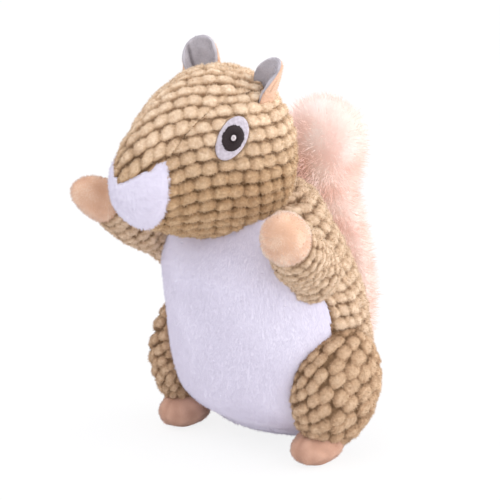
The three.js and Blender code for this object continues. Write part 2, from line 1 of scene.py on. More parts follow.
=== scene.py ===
"""Dresses a sitting plush squirrel, a squeaky dog toy, in its plush, velour, pile and stitches.

Lengths are millimetres in the part's own frame: +Z is up, the squirrel faces -Y and its own left is +X.
Maker.make() turns them into Blender's metres. Every stuffed form repeats the stations of the solid that it
dresses, so that each fabric lies on its solid.
"""

import logging
import math
from dataclasses import dataclass, field
from enum import Enum
from typing import Any, Callable, Optional, Sequence

import bpy
import numpy as np
from mathutils import Matrix, Vector
from mathutils.bvhtree import BVHTree


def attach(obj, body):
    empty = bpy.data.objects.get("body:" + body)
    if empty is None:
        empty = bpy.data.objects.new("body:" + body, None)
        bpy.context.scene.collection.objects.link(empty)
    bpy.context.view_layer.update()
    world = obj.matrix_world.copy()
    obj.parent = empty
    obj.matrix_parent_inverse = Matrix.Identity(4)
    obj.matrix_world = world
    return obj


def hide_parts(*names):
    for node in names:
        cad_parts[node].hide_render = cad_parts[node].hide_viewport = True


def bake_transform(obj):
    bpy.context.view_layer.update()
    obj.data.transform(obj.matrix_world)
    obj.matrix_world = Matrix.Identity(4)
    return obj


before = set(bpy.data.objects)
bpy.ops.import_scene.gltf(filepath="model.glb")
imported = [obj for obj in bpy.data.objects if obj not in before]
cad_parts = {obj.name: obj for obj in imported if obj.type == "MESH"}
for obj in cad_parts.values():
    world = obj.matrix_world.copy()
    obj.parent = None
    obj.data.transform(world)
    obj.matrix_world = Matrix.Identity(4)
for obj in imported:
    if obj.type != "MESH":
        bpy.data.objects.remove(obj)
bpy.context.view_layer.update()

LOG = logging.getLogger("squirrel")
MM = 0.001
SEAT_Y = 27.0  # the part's origin lies this far behind the torso's own
FULL_TURN = 2 * math.pi

Array = np.ndarray
Colour = tuple[float, float, float, float]
Keep = Callable[[Array], Array]
Carry = Callable[[bpy.types.Object], None]
MATERIALS: dict[str, bpy.types.Material] = {}


class Side(Enum):
    """The squirrel's own left or right."""

    LEFT = 1
    RIGHT = -1

    @property
    def label(self) -> str:
        """The side as it stands in the names of pieces."""
        return self.name.lower()


def srgb(red: int, green: int, blue: int) -> Colour:
    """Turns a colour as a picture gives it into the linear one that a shader takes.

    Args:
        red: Red from 0 to 255.
        green: Green from 0 to 255.
        blue: Blue from 0 to 255.

    Returns:
        The linear colour with full alpha.
    """
    parts = [part / 255 for part in (red, green, blue)]
    line = [part / 12.92 if part <= 0.04045 else ((part + 0.055) / 1.055) ** 2.4 for part in parts]
    return (line[0], line[1], line[2], 1.0)


def unit(vectors: Array) -> Array:
    """Scales vectors along the last axis to length one."""
    return vectors / np.maximum(np.linalg.norm(vectors, axis=-1, keepdims=True), 1e-9)


def eased(low: float, high: float, at: Array) -> Array:
    """Rises smoothly from 0 at low to 1 at high."""
    share = np.clip((at - low) / (high - low), 0, 1)
    return share * share * (3 - 2 * share)


def scatter(first: Array, second: Array, seed: float) -> Array:
    """Gives each pair of whole numbers a fixed number from 0 to 1 that looks random.

    Args:
        first: The first number of each pair.
        second: The second number of each pair.
        seed: Changes the whole pattern.

    Returns:
        An array of numbers from 0 to 1.
    """
    wave = np.sin(first * 127.1 + second * 311.7 + seed * 74.7) * 43758.5453
    return wave - np.floor(wave)


def soft_noise(points: Array, size: float, seed: float) -> Array:
    """Gives slow bumps over points in space.

    Args:
        points: Points in mm along the last axis.
        size: About how far apart the bumps are.
        seed: Changes the pattern.

    Returns:
        Numbers from about -1 to 1.
    """
    turn = points / size * FULL_TURN
    x, y, z = turn[..., 0], turn[..., 1], turn[..., 2]
    first = np.sin(x + 1.7 * np.sin(0.6 * y + seed) + seed)
    second = np.sin(y + 1.3 * np.sin(0.7 * z + 2 * seed) + 3 * seed)
    third = np.sin(z + 1.5 * np.sin(0.8 * x + 3 * seed) + 5 * seed)
    return (first + second + third) / 3


def fine_noise(points: Array, size: float, seed: float) -> Array:
    """Gives small uneven lumps over points in space.

    Args:
        points: Points in mm along the last axis.
        size: About how far apart the lumps are.
        seed: Changes the pattern.

    Returns:
        Numbers from -1 to 1.
    """
    place = points / size
    cell = np.floor(place)
    share = place - cell
    share = share * share * (3 - 2 * share)
    total = np.zeros(points.shape[:-1])
    for corner in np.ndindex(2, 2, 2):
        weight = np.prod(np.where(np.array(corner) == 1, share, 1 - share), axis=-1)
        spot = cell + np.array(corner)
        total += weight * scatter(spot[..., 0] + 57 * spot[..., 2], spot[..., 1], seed)
    return 2 * total - 1


def smooth_path(knots: Array, at: Array) -> Array:
    """Follows a centripetal curve through knots.

    Args:
        knots: Points, one a row.
        at: Places from 0 to 1, where each span between knots counts the same.

    Returns:
        One point a row.
    """
    padded = np.vstack([2 * knots[0] - knots[1], knots, 2 * knots[-1] - knots[-2]])
    spans = len(knots) - 1
    place = np.clip(at, 0, 1) * spans
    index = np.minimum(place.astype(int), spans - 1)
    share = (place - index)[:, None]
    before, start, end, after = (padded[index + step] for step in range(4))

    def root_gap(first: Array, second: Array) -> Array:
        """The square root of how far two rows of points lie apart."""
        return np.maximum(np.linalg.norm(second - first, axis=1, keepdims=True), 1e-8) ** 0.5

    gap_in, gap, gap_out = root_gap(before, start), root_gap(start, end), root_gap(end, after)
    leave = (start - before) / gap_in - (end - before) / (gap_in + gap) + (end - start) / gap
    arrive = (end - start) / gap - (after - start) / (gap + gap_out) + (after - end) / gap_out
    leave, arrive = leave * gap, arrive * gap
    square = -3 * start + 3 * end - 2 * leave - arrive
    cube = 2 * start - 2 * end + leave + arrive
    return start + share * (leave + share * (square + share * cube))


@dataclass
class Sheet:
    """A grid of points over a form, with what a fabric needs to know at each point.

    The first and last row each come together in a point where poles is set, and the first and last column
    are the same line where closed is set.
    """

    points: Array
    normals: Array
    along: Array
    around: Array
    poles: bool = True
    closed: bool = True

    def welded(self) -> Array:
        """Numbers the grid's points so that points in one place share a number."""
        rows, columns = self.along.shape
        number = np.arange(rows * columns).reshape(rows, columns)
        if self.closed:
            number[:, -1] = number[:, 0]
        if self.poles:
            number[0, :] = number[0, 0]
            number[-1, :] = number[-1, 0]
        return number.ravel()

    def quads(self, keep: Optional[Keep] = None) -> Array:
        """Lists the grid's faces.

        Args:
            keep: Says for points whether a face with its middle there stays.

        Returns:
            Four point numbers a row, in an order that faces outwards.
        """
        rows, columns = self.along.shape
        number = np.arange(rows * columns).reshape(rows, columns)
        corners = (number[:-1, :-1], number[:-1, 1:], number[1:, 1:], number[1:, :-1])
        faces = np.stack(corners, axis=-1).reshape(-1, 4)
        flat = self.points.reshape(-1, 3)
        middle = len(faces) // 2 + columns // 3
        first, second, third = (flat[faces[middle, corner]] for corner in range(3))
        outwards = self.normals.reshape(-1, 3)[faces[middle, 0]]
        if np.dot(np.cross(second - first, third - first), outwards) < 0:
            faces = faces[:, ::-1]
        if keep is not None:
            faces = faces[keep(flat[faces].mean(axis=1))]
        return faces


@dataclass
class Form:
    """A stuffed form: oval rings along a curved spine, rounded off at both ends.

    Attributes:
        spine: Middles of the stations, one a row.
        sizes: Half width and half height of each station.
        start_round: Length over which the first end is rounded.
        end_round: Length over which the last end is rounded.
        upright: Direction of the rings' height, or none for rings square to the spine.
    """

    spine: Array
    sizes: Array
    start_round: float
    end_round: float
    upright: Optional[Array] = None

    def __post_init__(self) -> None:
        """Measures the spine."""
        self.fine = np.linspace(0, 1, 1201)
        steps = np.linalg.norm(np.diff(smooth_path(self.spine, self.fine), axis=0), axis=1)
        self.reached = np.concatenate([[0.0], np.cumsum(steps)])
        self.long = float(self.reached[-1])

    def stations(self, along: Array) -> tuple[Array, Array, Array]:
        """Gives the middle, the upright direction and the half sizes at lengths along the spine."""
        inside = np.clip(along, 0, self.long)
        place = np.interp(inside, self.reached, self.fine)
        middle = smooth_path(self.spine, place)
        ahead = smooth_path(self.spine, np.clip(place + 0.002, 0, 1))
        behind = smooth_path(self.spine, np.clip(place - 0.002, 0, 1))
        heading = unit(ahead - behind)
        middle = middle + heading * (along - inside)[:, None]
        if self.upright is None:
            upright = unit(np.cross(heading, np.array([1.0, 0.0, 0.0])))
        else:
            upright = np.broadcast_to(self.upright, heading.shape)
        return middle, upright, smooth_path(self.sizes, place)

    def surface(self, along: Array, angle: Array, grow: float = 0.0) -> Array:
        """Gives points of the form's skin.

        Args:
            along: Lengths along the spine.
            angle: Angles round it, from the squirrel's left towards upright.
            grow: How far the skin lies outside the form.

        Returns:
            A grid of points, one row for each length.
        """
        middle, upright, sizes = self.stations(along)

        def rounded(inset: Array, curve: float) -> Array:
            """The share of the full ring that an end's rounding leaves."""
            share = np.clip(inset / (curve + grow), 0, 1)
            return np.sqrt(np.clip(1 - (1 - share) ** 2, 0, 1))

        ends = rounded(along + grow, self.start_round) * rounded(self.long + grow - along, self.end_round)
        wide = ((sizes[:, 0] + grow) * ends)[:, None, None]
        tall = ((sizes[:, 1] + grow) * ends)[:, None, None]
        across = np.array([1.0, 0.0, 0.0]) * np.cos(angle)[None, :, None]
        up = upright[:, None, :] * np.sin(angle)[None, :, None]
        return middle[:, None, :] + across * wide + up * tall

    def sheet(self, step: float, reference: float, grow: float = 0.0) -> Sheet:
        """Lays an even grid over the form.

        Args:
            step: About how far apart the points lie.
            reference: Angle of the line from which lengths round the form count.
            grow: How far the sheet lies outside the form.

        Returns:
            The sheet, cut opposite the reference line.
        """
        fine = -grow + (self.long + 2 * grow) * (1 - np.cos(np.linspace(0, math.pi, 1500))) / 2
        lines = self.surface(fine, np.arange(4) * math.pi / 2, grow)
        gaps = np.linalg.norm(np.diff(lines, axis=0), axis=2).mean(axis=1)
        length = np.concatenate([[0.0], np.cumsum(gaps)])
        rows = max(int(length[-1] / step), 8)
        along = np.interp(np.linspace(0, length[-1], rows + 1), length, fine)
        rings = self.surface(along, np.linspace(0, FULL_TURN, 60), grow)
        girth = np.linalg.norm(np.diff(rings, axis=1), axis=2)
        columns = max(int(girth.sum(axis=1).max() / step), 16)
        angle = reference + np.linspace(-math.pi, math.pi, columns + 1)
        points = self.surface(along, angle, grow)
        gaps = np.linalg.norm(np.diff(points, axis=1), axis=2)
        around = np.concatenate([np.zeros((rows + 1, 1)), np.cumsum(gaps, axis=1)], axis=1)
        around -= around[:, [columns // 2]]
        lengths = np.linspace(0, length[-1], rows + 1)[:, None] * np.ones((1, columns + 1))
        middle = self.stations(along)[0][:, None, :]
        return Sheet(points, outward(points, middle), lengths, around)


def smooth_skin(form: Form, step: float) -> BVHTree:
    """Makes a form's smooth skin, on which other pieces lie or against which they measure their depth.

    Args:
        form: The form.
        step: About how far apart the skin's points lie.

    Returns:
        The skin, in mm.
    """
    sheet = form.sheet(step, 0.0)
    return BVHTree.FromPolygons(sheet.points.reshape(-1, 3).tolist(), sheet.welded()[sheet.quads()].tolist())


def cubic_weights(share: Array) -> Array:
    """Gives the weights of a cubic curve's four points, one row for each share of the way along it."""
    rest = 1 - share
    return np.stack([rest**3, 3 * share * rest**2, 3 * share**2 * rest, share**3], axis=1)


def outward(points: Array, middle: Array) -> Array:
    """Gives the directions square to a closed grid of points, away from its middle line.

    Args:
        points: The grid.
        middle: A point inside it for each row.

    Returns:
        A unit vector for each point.
    """
    ringed = np.concatenate([points[:, -2:-1], points, points[:, 1:2]], axis=1)
    across = ringed[:, 2:] - ringed[:, :-2]
    ahead = np.gradient(points, axis=0)
    normals = np.cross(across, ahead)
    inner = normals[1:-1]
    sign = np.sign(np.sum(inner * (points[1:-1] - middle[1:-1]), axis=-1).sum())
    normals = unit(normals * (sign or 1.0))
    for row, near in ((0, 1), (-1, -2)):
        normals[row] = unit(normals[near].mean(axis=0))
    return normals


@dataclass(frozen=True)
class Popcorn:
    """The bumps of popcorn plush: rows of soft domes with pits where four of them meet.

    Attributes:
        across: Pitch of the bumps in a row.
        rows: Pitch of the rows.
        deep: Height of a bump over the pits beside it.
        turn: Angle of the rows in degrees.
        shift: Share of a pitch by which each row lies beside the one before.
        loose: How far bumps stray from their places, as a share of the pitch.
        swap: Whether the rows run along the form instead of round it.
        full: How far the bumps of a row run into each other, where 0.5 only just touch.
        full_row: How far the rows run into each other.
        lean: How much longer a bump is on the upper side of its row than on the lower one.
        crease: How much deeper the line between two rows is, which also paints shade along it.
        wander: How far a row waves, as a share of the rows' pitch.
        square: The power that makes a bump's outline squarer than an oval.
        uneven: How much bumps differ in height.
        uneven_wide: How much they differ in width.
        drift: How far the whole plush swells and sinks, as a share of a bump's height.
        drift_size: How far apart those swells are.
        lint: Height and size of the coarse and the fine lumps of its fibres.
        seed: Changes the pattern.
    """

    across: float = 7.5
    rows: float = 7.0
    deep: float = 3.2
    turn: float = 0.0
    shift: float = 0.12
    loose: float = 0.1
    swap: bool = False
    full: float = 0.64
    full_row: float = 0.52
    lean: float = 0.0
    crease: float = 0.15
    wander: float = 0.12
    square: float = 2.3
    uneven: float = 0.14
    uneven_wide: float = 0.06
    drift: float = 0.12
    drift_size: float = 26.0
    lint: tuple[tuple[float, float], ...] = ((0.4, 2.6), (0.22, 1.3))
    seed: float = 1.0

    def height(self, around: Array, along: Array) -> Array:
        """Gives the height of the bumps.

        Args:
            around: Lengths round the form.
            along: Lengths along it.

        Returns:
            Heights from 0 in a pit to 1 on a bump.
        """
        if self.swap:
            around, along = along, around
        cosine, sine = math.cos(math.radians(self.turn)), math.sin(math.radians(self.turn))
        place = (around * cosine + along * sine) / self.across
        row_place = (along * cosine - around * sine) / self.rows
        row_place = row_place + self.wander * np.sin(place * 0.9 + self.seed)
        by_row: list[Array] = []
        for row_step in (-1, 0, 1):
            best = np.zeros_like(place)
            row = np.floor(row_place) + row_step
            shifted = place - self.shift * row - 0.5 * scatter(row, row, self.seed)
            for step in (-1, 0, 1):
                bump = np.floor(shifted) + step
                stray = [self.loose * (2 * scatter(bump, row, self.seed + kind) - 1) for kind in (1, 2)]
                wide = self.full + self.uneven_wide * (scatter(bump, row, self.seed + 3) - 0.5)
                off = np.abs(shifted - bump - 0.5 - stray[0]) / wide
                off_row = row_place - row - 0.5 - stray[1]
                upper, lower = self.full_row * (1 + self.lean), self.full_row * (1 - self.lean)
                off_row = np.where(off_row > 0, off_row / upper, -off_row / lower)
                dome = np.sqrt(np.clip(1 - off**self.square - off_row**self.square, 0, 1))
                full = 1 - self.uneven * (1 - scatter(bump, row, self.seed + 4))
                best = np.maximum(best, dome * full)
            by_row.append(best)
        ranked = np.sort(np.stack(by_row), axis=0)
        # Lowering the line between rows deepens it and, as the height also sets the colour, paints shade
        # along it.
        crease = 1 - eased(0.0, 0.3, ranked[2] - ranked[1])
        return np.clip(ranked[2] - self.crease * crease, 0, 1)


@dataclass
class Fabric:
    """A panel's outer face, ready to be made up: points, faces and how high each point stands.

    Attributes:
        outer: Points of the outer face.
        base: Points of the form below it.
        normals: Directions out of the form.
        faces: Four point numbers a row.
        weld: The number that each point shares with others in the same place.
        lay: A flat place of each point, from 0 to 1 both ways.
        rise: Height of the fabric's relief from 0 to 1.
    """

    outer: Array
    base: Array
    normals: Array
    faces: Array
    weld: Array
    lay: Array
    rise: Array

    @classmethod
    def of(cls, sheet: Sheet, outer: Array, rise: Array, keep: Optional[Keep] = None) -> "Fabric":
        """Cuts a panel out of a sheet.

        Args:
            sheet: The grid that the panel lies on.
            outer: Where its outer face is.
            rise: Height of its relief from 0 to 1.
            keep: Says which faces belong to the panel.

        Returns:
            The panel.
        """
        rows, columns = sheet.along.shape
        down, side = np.meshgrid(np.linspace(0, 1, rows), np.linspace(0, 1, columns), indexing="ij")
        lay = np.stack([side, down], axis=-1).reshape(-1, 2)
        weld = sheet.welded()
        flat = outer.reshape(-1, 3)[weld]
        return cls(flat, sheet.points.reshape(-1, 3)[weld], sheet.normals.reshape(-1, 3)[weld],
                   sheet.quads(keep), weld, lay, rise.ravel()[weld])

    def everywhere(self, way: Sequence[float]) -> Array:
        """Gives each of the panel's points the same direction."""
        return np.array(way)[None, :] * np.ones((len(self.outer), 1))

    def moved(self, place: Matrix) -> "Fabric":
        """Puts the panel in another place.

        Args:
            place: Where the form's own frame lies, in mm.

        Returns:
            The panel in the part's frame.
        """
        turn = np.array(place.to_3x3())
        shift = np.array(place.translation)
        return Fabric(self.outer @ turn.T + shift, self.base @ turn.T + shift, self.normals @ turn.T,
                      self.faces, self.weld, self.lay, self.rise)


@dataclass
class Faces:
    """Faces with the same number of corners: point numbers, and a flat place for each corner."""

    corners: Array
    lay: Array


def edges_once(faces: list[Array]) -> Array:
    """Lists the edges that only one face has, in the direction in which that face runs.

    Args:
        faces: Arrays of point numbers, one face a row.

    Returns:
        Two point numbers a row.
    """
    runs = [np.stack([group, np.roll(group, -1, axis=1)], axis=-1).reshape(-1, 2) for group in faces]
    edges = np.concatenate(runs)
    edges = edges[edges[:, 0] != edges[:, 1]]
    order = np.sort(edges, axis=1)
    _, back, count = np.unique(order, axis=0, return_inverse=True, return_counts=True)
    return edges[count[back.ravel()] == 1]


@dataclass
class Maker:
    """Makes pieces: turns arrays in mm into objects in metres."""

    made: list[bpy.types.Object] = field(default_factory=list)
    edge_rise: float = 0.45  # turned edges and linings are shaded at least as if they stood this high
    crest: float = 0.45  # height of a spike's outer ridge, as a share of its half thickness
    tip_shade: float = 0.25  # how far a spike's shading leans towards its tip
    half_map: tuple[float, float] = (0.49, 0.98)  # a cover's outside fills one half of the flat map
    map_corner: tuple[float, float] = (0.005, 0.01)

    def mesh(self, name: str, points: Array, groups: Sequence[Faces],
             marks: dict[str, Array]) -> bpy.types.Mesh:
        """Makes a mesh.

        Args:
            name: Its name.
            points: Its points in mm.
            groups: Its faces.
            marks: A number for each point, by the name under which a material reads it.

        Returns:
            The mesh, with points that no face uses left out.
        """
        used = np.unique(np.concatenate([group.corners.ravel() for group in groups]))
        number = np.full(len(points), -1)
        number[used] = np.arange(len(used))
        mesh = bpy.data.meshes.new(name)
        mesh.vertices.add(len(used))
        mesh.vertices.foreach_set("co", (points[used] * MM).astype(np.float32).ravel())
        loops = np.concatenate([number[group.corners].ravel() for group in groups])
        sizes = np.concatenate([np.full(len(group.corners), group.corners.shape[1]) for group in groups])
        mesh.loops.add(len(loops))
        mesh.loops.foreach_set("vertex_index", loops.astype(np.int32))
        mesh.polygons.add(len(sizes))
        starts = np.concatenate([[0], np.cumsum(sizes)[:-1]])
        mesh.polygons.foreach_set("loop_start", starts.astype(np.int32))
        mesh.update(calc_edges=True)
        flat = mesh.uv_layers.new(name="OFBake")
        lay = np.concatenate([group.lay.reshape(-1, 2) for group in groups])
        flat.data.foreach_set("uv", lay.astype(np.float32).ravel())
        for mark, values in marks.items():
            attribute = mesh.attributes.new(mark, "FLOAT", "POINT")
            attribute.data.foreach_set("value", values[used].astype(np.float32))
        mesh.shade_smooth()
        return mesh

    def make(self, name: str, mesh: bpy.types.Mesh, finish: "Finish") -> bpy.types.Object:
        """Puts a mesh in the scene with its finish.

        Args:
            name: The piece's name.
            mesh: Its mesh.
            finish: What it is made of.

        Returns:
            The piece.
        """
        piece = bpy.data.objects.new(name, mesh)
        bpy.context.scene.collection.objects.link(piece)
        mesh.materials.append(finish.material())
        self.made.append(piece)
        LOG.info("%s: %d faces", name, len(mesh.polygons))
        return piece

    def cover(self, name: str, fabric: Fabric, thick: float, finish: "Finish") -> bpy.types.Object:
        """Makes up a panel: its outer face, its lining and the turned edges between them.

        Args:
            name: The piece's name.
            fabric: The panel.
            thick: How far the lining lies inside the form.
            finish: What it is made of.

        Returns:
            The piece, closed all round.
        """
        count = len(fabric.outer)
        lining = fabric.base - fabric.normals * thick
        points = np.concatenate([fabric.outer, lining])
        welded = fabric.weld[fabric.faces]
        pinched = welded[:, 0] == welded[:, 1]
        folded = welded[:, 2] == welded[:, 3]
        picks = ((~pinched & ~folded, [0, 1, 2, 3]), (pinched, [1, 2, 3]), (folded & ~pinched, [0, 1, 2]))
        groups: list[Faces] = []
        outside: list[Array] = []
        half, corner = np.array(self.half_map), np.array(self.map_corner)
        for chosen, corners in picks:
            if chosen.any():
                numbers = fabric.faces[chosen][:, corners]
                lay = fabric.lay[numbers] * half + corner
                joined = fabric.weld[numbers]
                outside.append(joined)
                groups.append(Faces(joined, lay))
                groups.append(Faces(joined[:, ::-1] + count, lay[:, ::-1] + np.array([0.5, 0.0])))
        rim = edges_once(outside)
        if len(rim):
            walls = np.stack([rim[:, 1], rim[:, 0], rim[:, 0] + count, rim[:, 1] + count], axis=1)
            near = fabric.lay[walls % count] * half + corner
            groups.append(Faces(walls, near))
        marks = {"rise": np.concatenate([fabric.rise, np.maximum(fabric.rise, self.edge_rise)])}
        return self.make(name, self.mesh(name, points, groups, marks), finish)

    def strands(self, name: str, tufts: "Tufts", finish: "Finish") -> bpy.types.Object:
        """Makes the pile of a fabric as fine three-sided spikes, each with a ridge on its outer side.

        Args:
            name: The piece's name.
            tufts: Where each spike stands and where it points.
            finish: What it is made of.

        Returns:
            The piece.
        """
        count = len(tufts.roots)
        side = unit(np.cross(tufts.ways, tufts.normals + 1e-4))
        crest = unit(np.cross(side, tufts.ways)) * self.crest
        ring = np.stack([side, -side, crest], axis=1)
        low = tufts.roots[:, None, :] + ring * tufts.thick
        tip = (tufts.roots + tufts.ways + tufts.bows)[:, None, :]
        points = np.concatenate([low, tip], axis=1).reshape(-1, 3)
        first = (np.arange(count) * 4)[:, None]
        sides = np.concatenate([first + np.array([corner, (corner + 1) % 3, 3]) for corner in range(3)])
        cells = math.ceil(math.sqrt(count))
        cell = np.stack([np.arange(count) % cells, np.arange(count) // cells], axis=1)[:, None, :]
        spots = np.array([[0.1, 0.1], [0.9, 0.1], [0.5, 0.45], [0.5, 0.9]])
        lay = ((cell + spots[None]) / cells).reshape(-1, 2)
        groups = [Faces(sides, lay[sides])]
        marks = {
            "rise": np.repeat(tufts.rises, 4),
            "tip": np.tile([0.0, 0.0, 0.0, 1.0], count),
            "tone": np.repeat(tufts.tones, 4),
        }
        mesh = self.mesh(name, points, groups, marks)
        outer = unit(tufts.normals + self.tip_shade * unit(tufts.ways))
        normals = np.repeat(np.concatenate([-unit(crest), outer, outer]), 3, axis=0)
        mesh.normals_split_custom_set(normals.tolist())
        pile = self.make(name, mesh, finish)
        pile.visible_shadow = pile.visible_diffuse = not finish.airy
        return pile


@dataclass
class Tufts:
    """Where the spikes of a pile stand, where they point, and how each is shaded."""

    roots: Array
    ways: Array
    bows: Array
    normals: Array
    rises: Array
    tones: Array
    thick: float


@dataclass(frozen=True)
class Pile:
    """A pile that grows out of a fabric.

    Attributes:
        close: Spikes for each square mm.
        long: Length of a spike.
        thick: Half thickness at its root.
        stand: How far it stands up, from 0, lying along the comb, to 1, upright.
        ragged: How much the spikes differ in direction.
        uneven: How much they differ in length.
        bow: How far a tip hangs down.
        least_stand: How far even the lowest spike stands up.
        rooted: How deep the roots lie in the fabric.
        seed: Changes the pattern.
    """

    close: float
    long: float
    thick: float
    stand: float = 0.7
    ragged: float = 0.3
    uneven: float = 0.35
    bow: float = 0.0
    least_stand: float = 0.12
    rooted: float = 0.15
    seed: int = 1

    def grown(self, fabric: Fabric, comb: Optional[Array] = None, lengths: Optional[Array] = None) -> Tufts:
        """Grows the pile on a fabric.

        Args:
            fabric: The fabric.
            comb: The direction it is combed in, down where none is given.
            lengths: A factor on the length at each of the fabric's points.

        Returns:
            The spikes.
        """
        dice = np.random.default_rng(self.seed)
        corners = fabric.outer[fabric.weld[fabric.faces]]
        diagonals = corners[:, 2] - corners[:, 0], corners[:, 3] - corners[:, 1]
        size = np.linalg.norm(np.cross(*diagonals), axis=1) / 2
        count = int(size.sum() * self.close)
        face = dice.choice(len(size), count, p=size / size.sum())
        one, two = dice.random(count)[:, None], dice.random(count)[:, None]
        weights = ((1 - one) * (1 - two), one * (1 - two), one * two, (1 - one) * two)
        numbers = fabric.weld[fabric.faces[face]]

        def between(values: Array) -> Array:
            """Reads values of the fabric's points where the spikes stand."""
            return sum(weight * values[numbers[:, corner]] for corner, weight in enumerate(weights))

        normals = unit(between(fabric.normals))
        way = np.array([0.0, 0.0, -1.0]) if comb is None else between(comb)
        way = unit(way - normals * np.sum(way * normals, axis=1, keepdims=True) + 1e-6)
        stray = dice.normal(size=(count, 3)) * self.ragged
        heading = unit(normals * self.stand + way * (1 - self.stand) + stray)
        short = self.least_stand - np.sum(heading * normals, axis=1, keepdims=True)
        heading = heading + normals * np.maximum(short, 0)
        long = self.long * (1 - self.uneven * dice.random(count))[:, None]
        if lengths is not None:
            long = long * between(lengths[:, None])
        bows = np.array([0.0, 0.0, -1.0]) * self.bow * long
        sunk = np.minimum(np.sum((bows + heading * long) * normals, axis=1, keepdims=True), 0)
        bows = bows - normals * sunk
        return Tufts(between(fabric.outer) - normals * self.rooted, heading * long, bows, normals,
                     between(fabric.rise[:, None])[:, 0], dice.random(count), self.thick)


class Value:
    """A socket of a shader, so that maths on it reads as Python."""

    def __init__(self, bench: "Bench", socket: bpy.types.NodeSocket) -> None:
        """Wraps a socket."""
        self.bench = bench
        self.socket = socket

    def _maths(self, operation: str, first: Any, second: Any) -> "Value":
        """Adds one Math node."""
        return self.bench.value("ShaderNodeMath", {"operation": operation}, {0: first, 1: second})

    def __add__(self, other: Any) -> "Value":
        """Adds."""
        return self._maths("ADD", self, other)

    __radd__ = __add__

    def __sub__(self, other: Any) -> "Value":
        """Takes away."""
        return self._maths("SUBTRACT", self, other)

    def __rsub__(self, other: Any) -> "Value":
        """Takes this away from a number."""
        return self._maths("SUBTRACT", other, self)

    def __mul__(self, other: Any) -> "Value":
        """Multiplies."""
        return self._maths("MULTIPLY", self, other)

    __rmul__ = __mul__

    def between(self, low: float, high: float) -> "Value":
        """Rises smoothly from 0 at low to 1 at high."""
        settings = {"interpolation_type": "SMOOTHSTEP"}
        sockets = {"Value": self, "From Min": low, "From Max": high}
        return self.bench.value("ShaderNodeMapRange", settings, sockets)


class Bench:
    """The shader of one material, or of the world."""

    def __init__(self, owner: bpy.types.Material | bpy.types.World) -> None:
        """Starts an empty shader."""
        owner.use_nodes = True
        self.owner = owner
        self.tree = owner.node_tree
        self.tree.nodes.clear()

    def node(self, kind: str, settings: dict[str, Any], sockets: dict[Any, Any]) -> bpy.types.Node:
        """Adds a node.

        Args:
            kind: The node's type.
            settings: Its settings, set first.
            sockets: Values or links of its sockets, by name or number.

        Returns:
            The node.
        """
        node = self.tree.nodes.new(kind)
        for setting, choice in settings.items():
            setattr(node, setting, choice)
        for key, given in sockets.items():
            if isinstance(given, Value):
                self.tree.links.new(given.socket, node.inputs[key])
            else:
                node.inputs[key].default_value = given
        return node

    def value(self, kind: str, settings: dict[str, Any], sockets: dict[Any, Any], output: Any = 0) -> Value:
        """Adds a node and gives one of its outputs."""
        return Value(self, self.node(kind, settings, sockets).outputs[output])

    def mark(self, name: str) -> Value:
        """Reads a number that the mesh holds for each point."""
        return self.value("ShaderNodeAttribute", {"attribute_name": name}, {}, "Fac")

    def noise(self, size: float, detail: float = 2.0) -> Value:
        """Gives noise in space with spots of about size mm."""
        place = self.value("ShaderNodeTexCoord", {}, {}, "Object")
        sockets = {"Vector": place, "Scale": 1 / (size * MM), "Detail": detail}
        return self.value("ShaderNodeTexNoise", {}, sockets, "Fac")

    def seen(self) -> Value:
        """Tells the rays that look at the studio from those that light the toy."""
        rays = self.node("ShaderNodeLightPath", {}, {}).outputs
        kinds = ("Is Camera Ray", "Is Glossy Ray", "Is Transmission Ray")
        camera, glossy, through = (Value(self, rays[kind]) for kind in kinds)
        return (camera + glossy + through).between(0.0, 1.0)

    def height(self) -> Value:
        """Gives the height in metres, at rest, of the point that is shaded."""
        place = self.value("ShaderNodeTexCoord", {}, {}, "Object")
        return self.value("ShaderNodeSeparateXYZ", {}, {0: place}, "Z")

    def mix(self, share: Value, first: Any, second: Any) -> Value:
        """Mixes two colours."""
        return self.value("ShaderNodeMix", {"data_type": "RGBA"}, {0: share, 6: first, 7: second}, 2)

    def bump(self, height: Value, strong: float, deep: float) -> Value:
        """Turns a height into a relief that is deep mm deep."""
        sockets = {"Height": height, "Strength": strong, "Distance": deep * MM}
        return self.value("ShaderNodeBump", {}, sockets)

    def close(self, sockets: dict[Any, Any]) -> bpy.types.Material:
        """Ends the shader in one surface.

        Args:
            sockets: Values or links of the surface's sockets.

        Returns:
            The material.
        """
        surface = self.value("ShaderNodeBsdfPrincipled", {}, sockets)
        self.node("ShaderNodeOutputMaterial", {}, {"Surface": surface})
        return self.owner


@dataclass(frozen=True)
class Finish:
    """What a piece is made of.

    Attributes:
        name: The material's name.
        slot: The name of its material slot; not used.
        airy: Whether light passes between its strands, so that they throw no shadow.
    """

    name: str
    slot: str
    airy: bool = False

    def material(self) -> bpy.types.Material:
        """Gives the material, made once."""
        if self.name not in MATERIALS:
            MATERIALS[self.name] = self.shade(Bench(bpy.data.materials.new(self.name)))
        return MATERIALS[self.name]

    def shade(self, bench: Bench) -> bpy.types.Material:
        """Makes the shader."""
        raise NotImplementedError


@dataclass(frozen=True)
class Tones:
    """The colours of a pile from its pits to its tops, darker in the pits partly as its own colour and
    partly as painted shade.
    """

    pit: Colour
    middle: Colour
    top: Colour


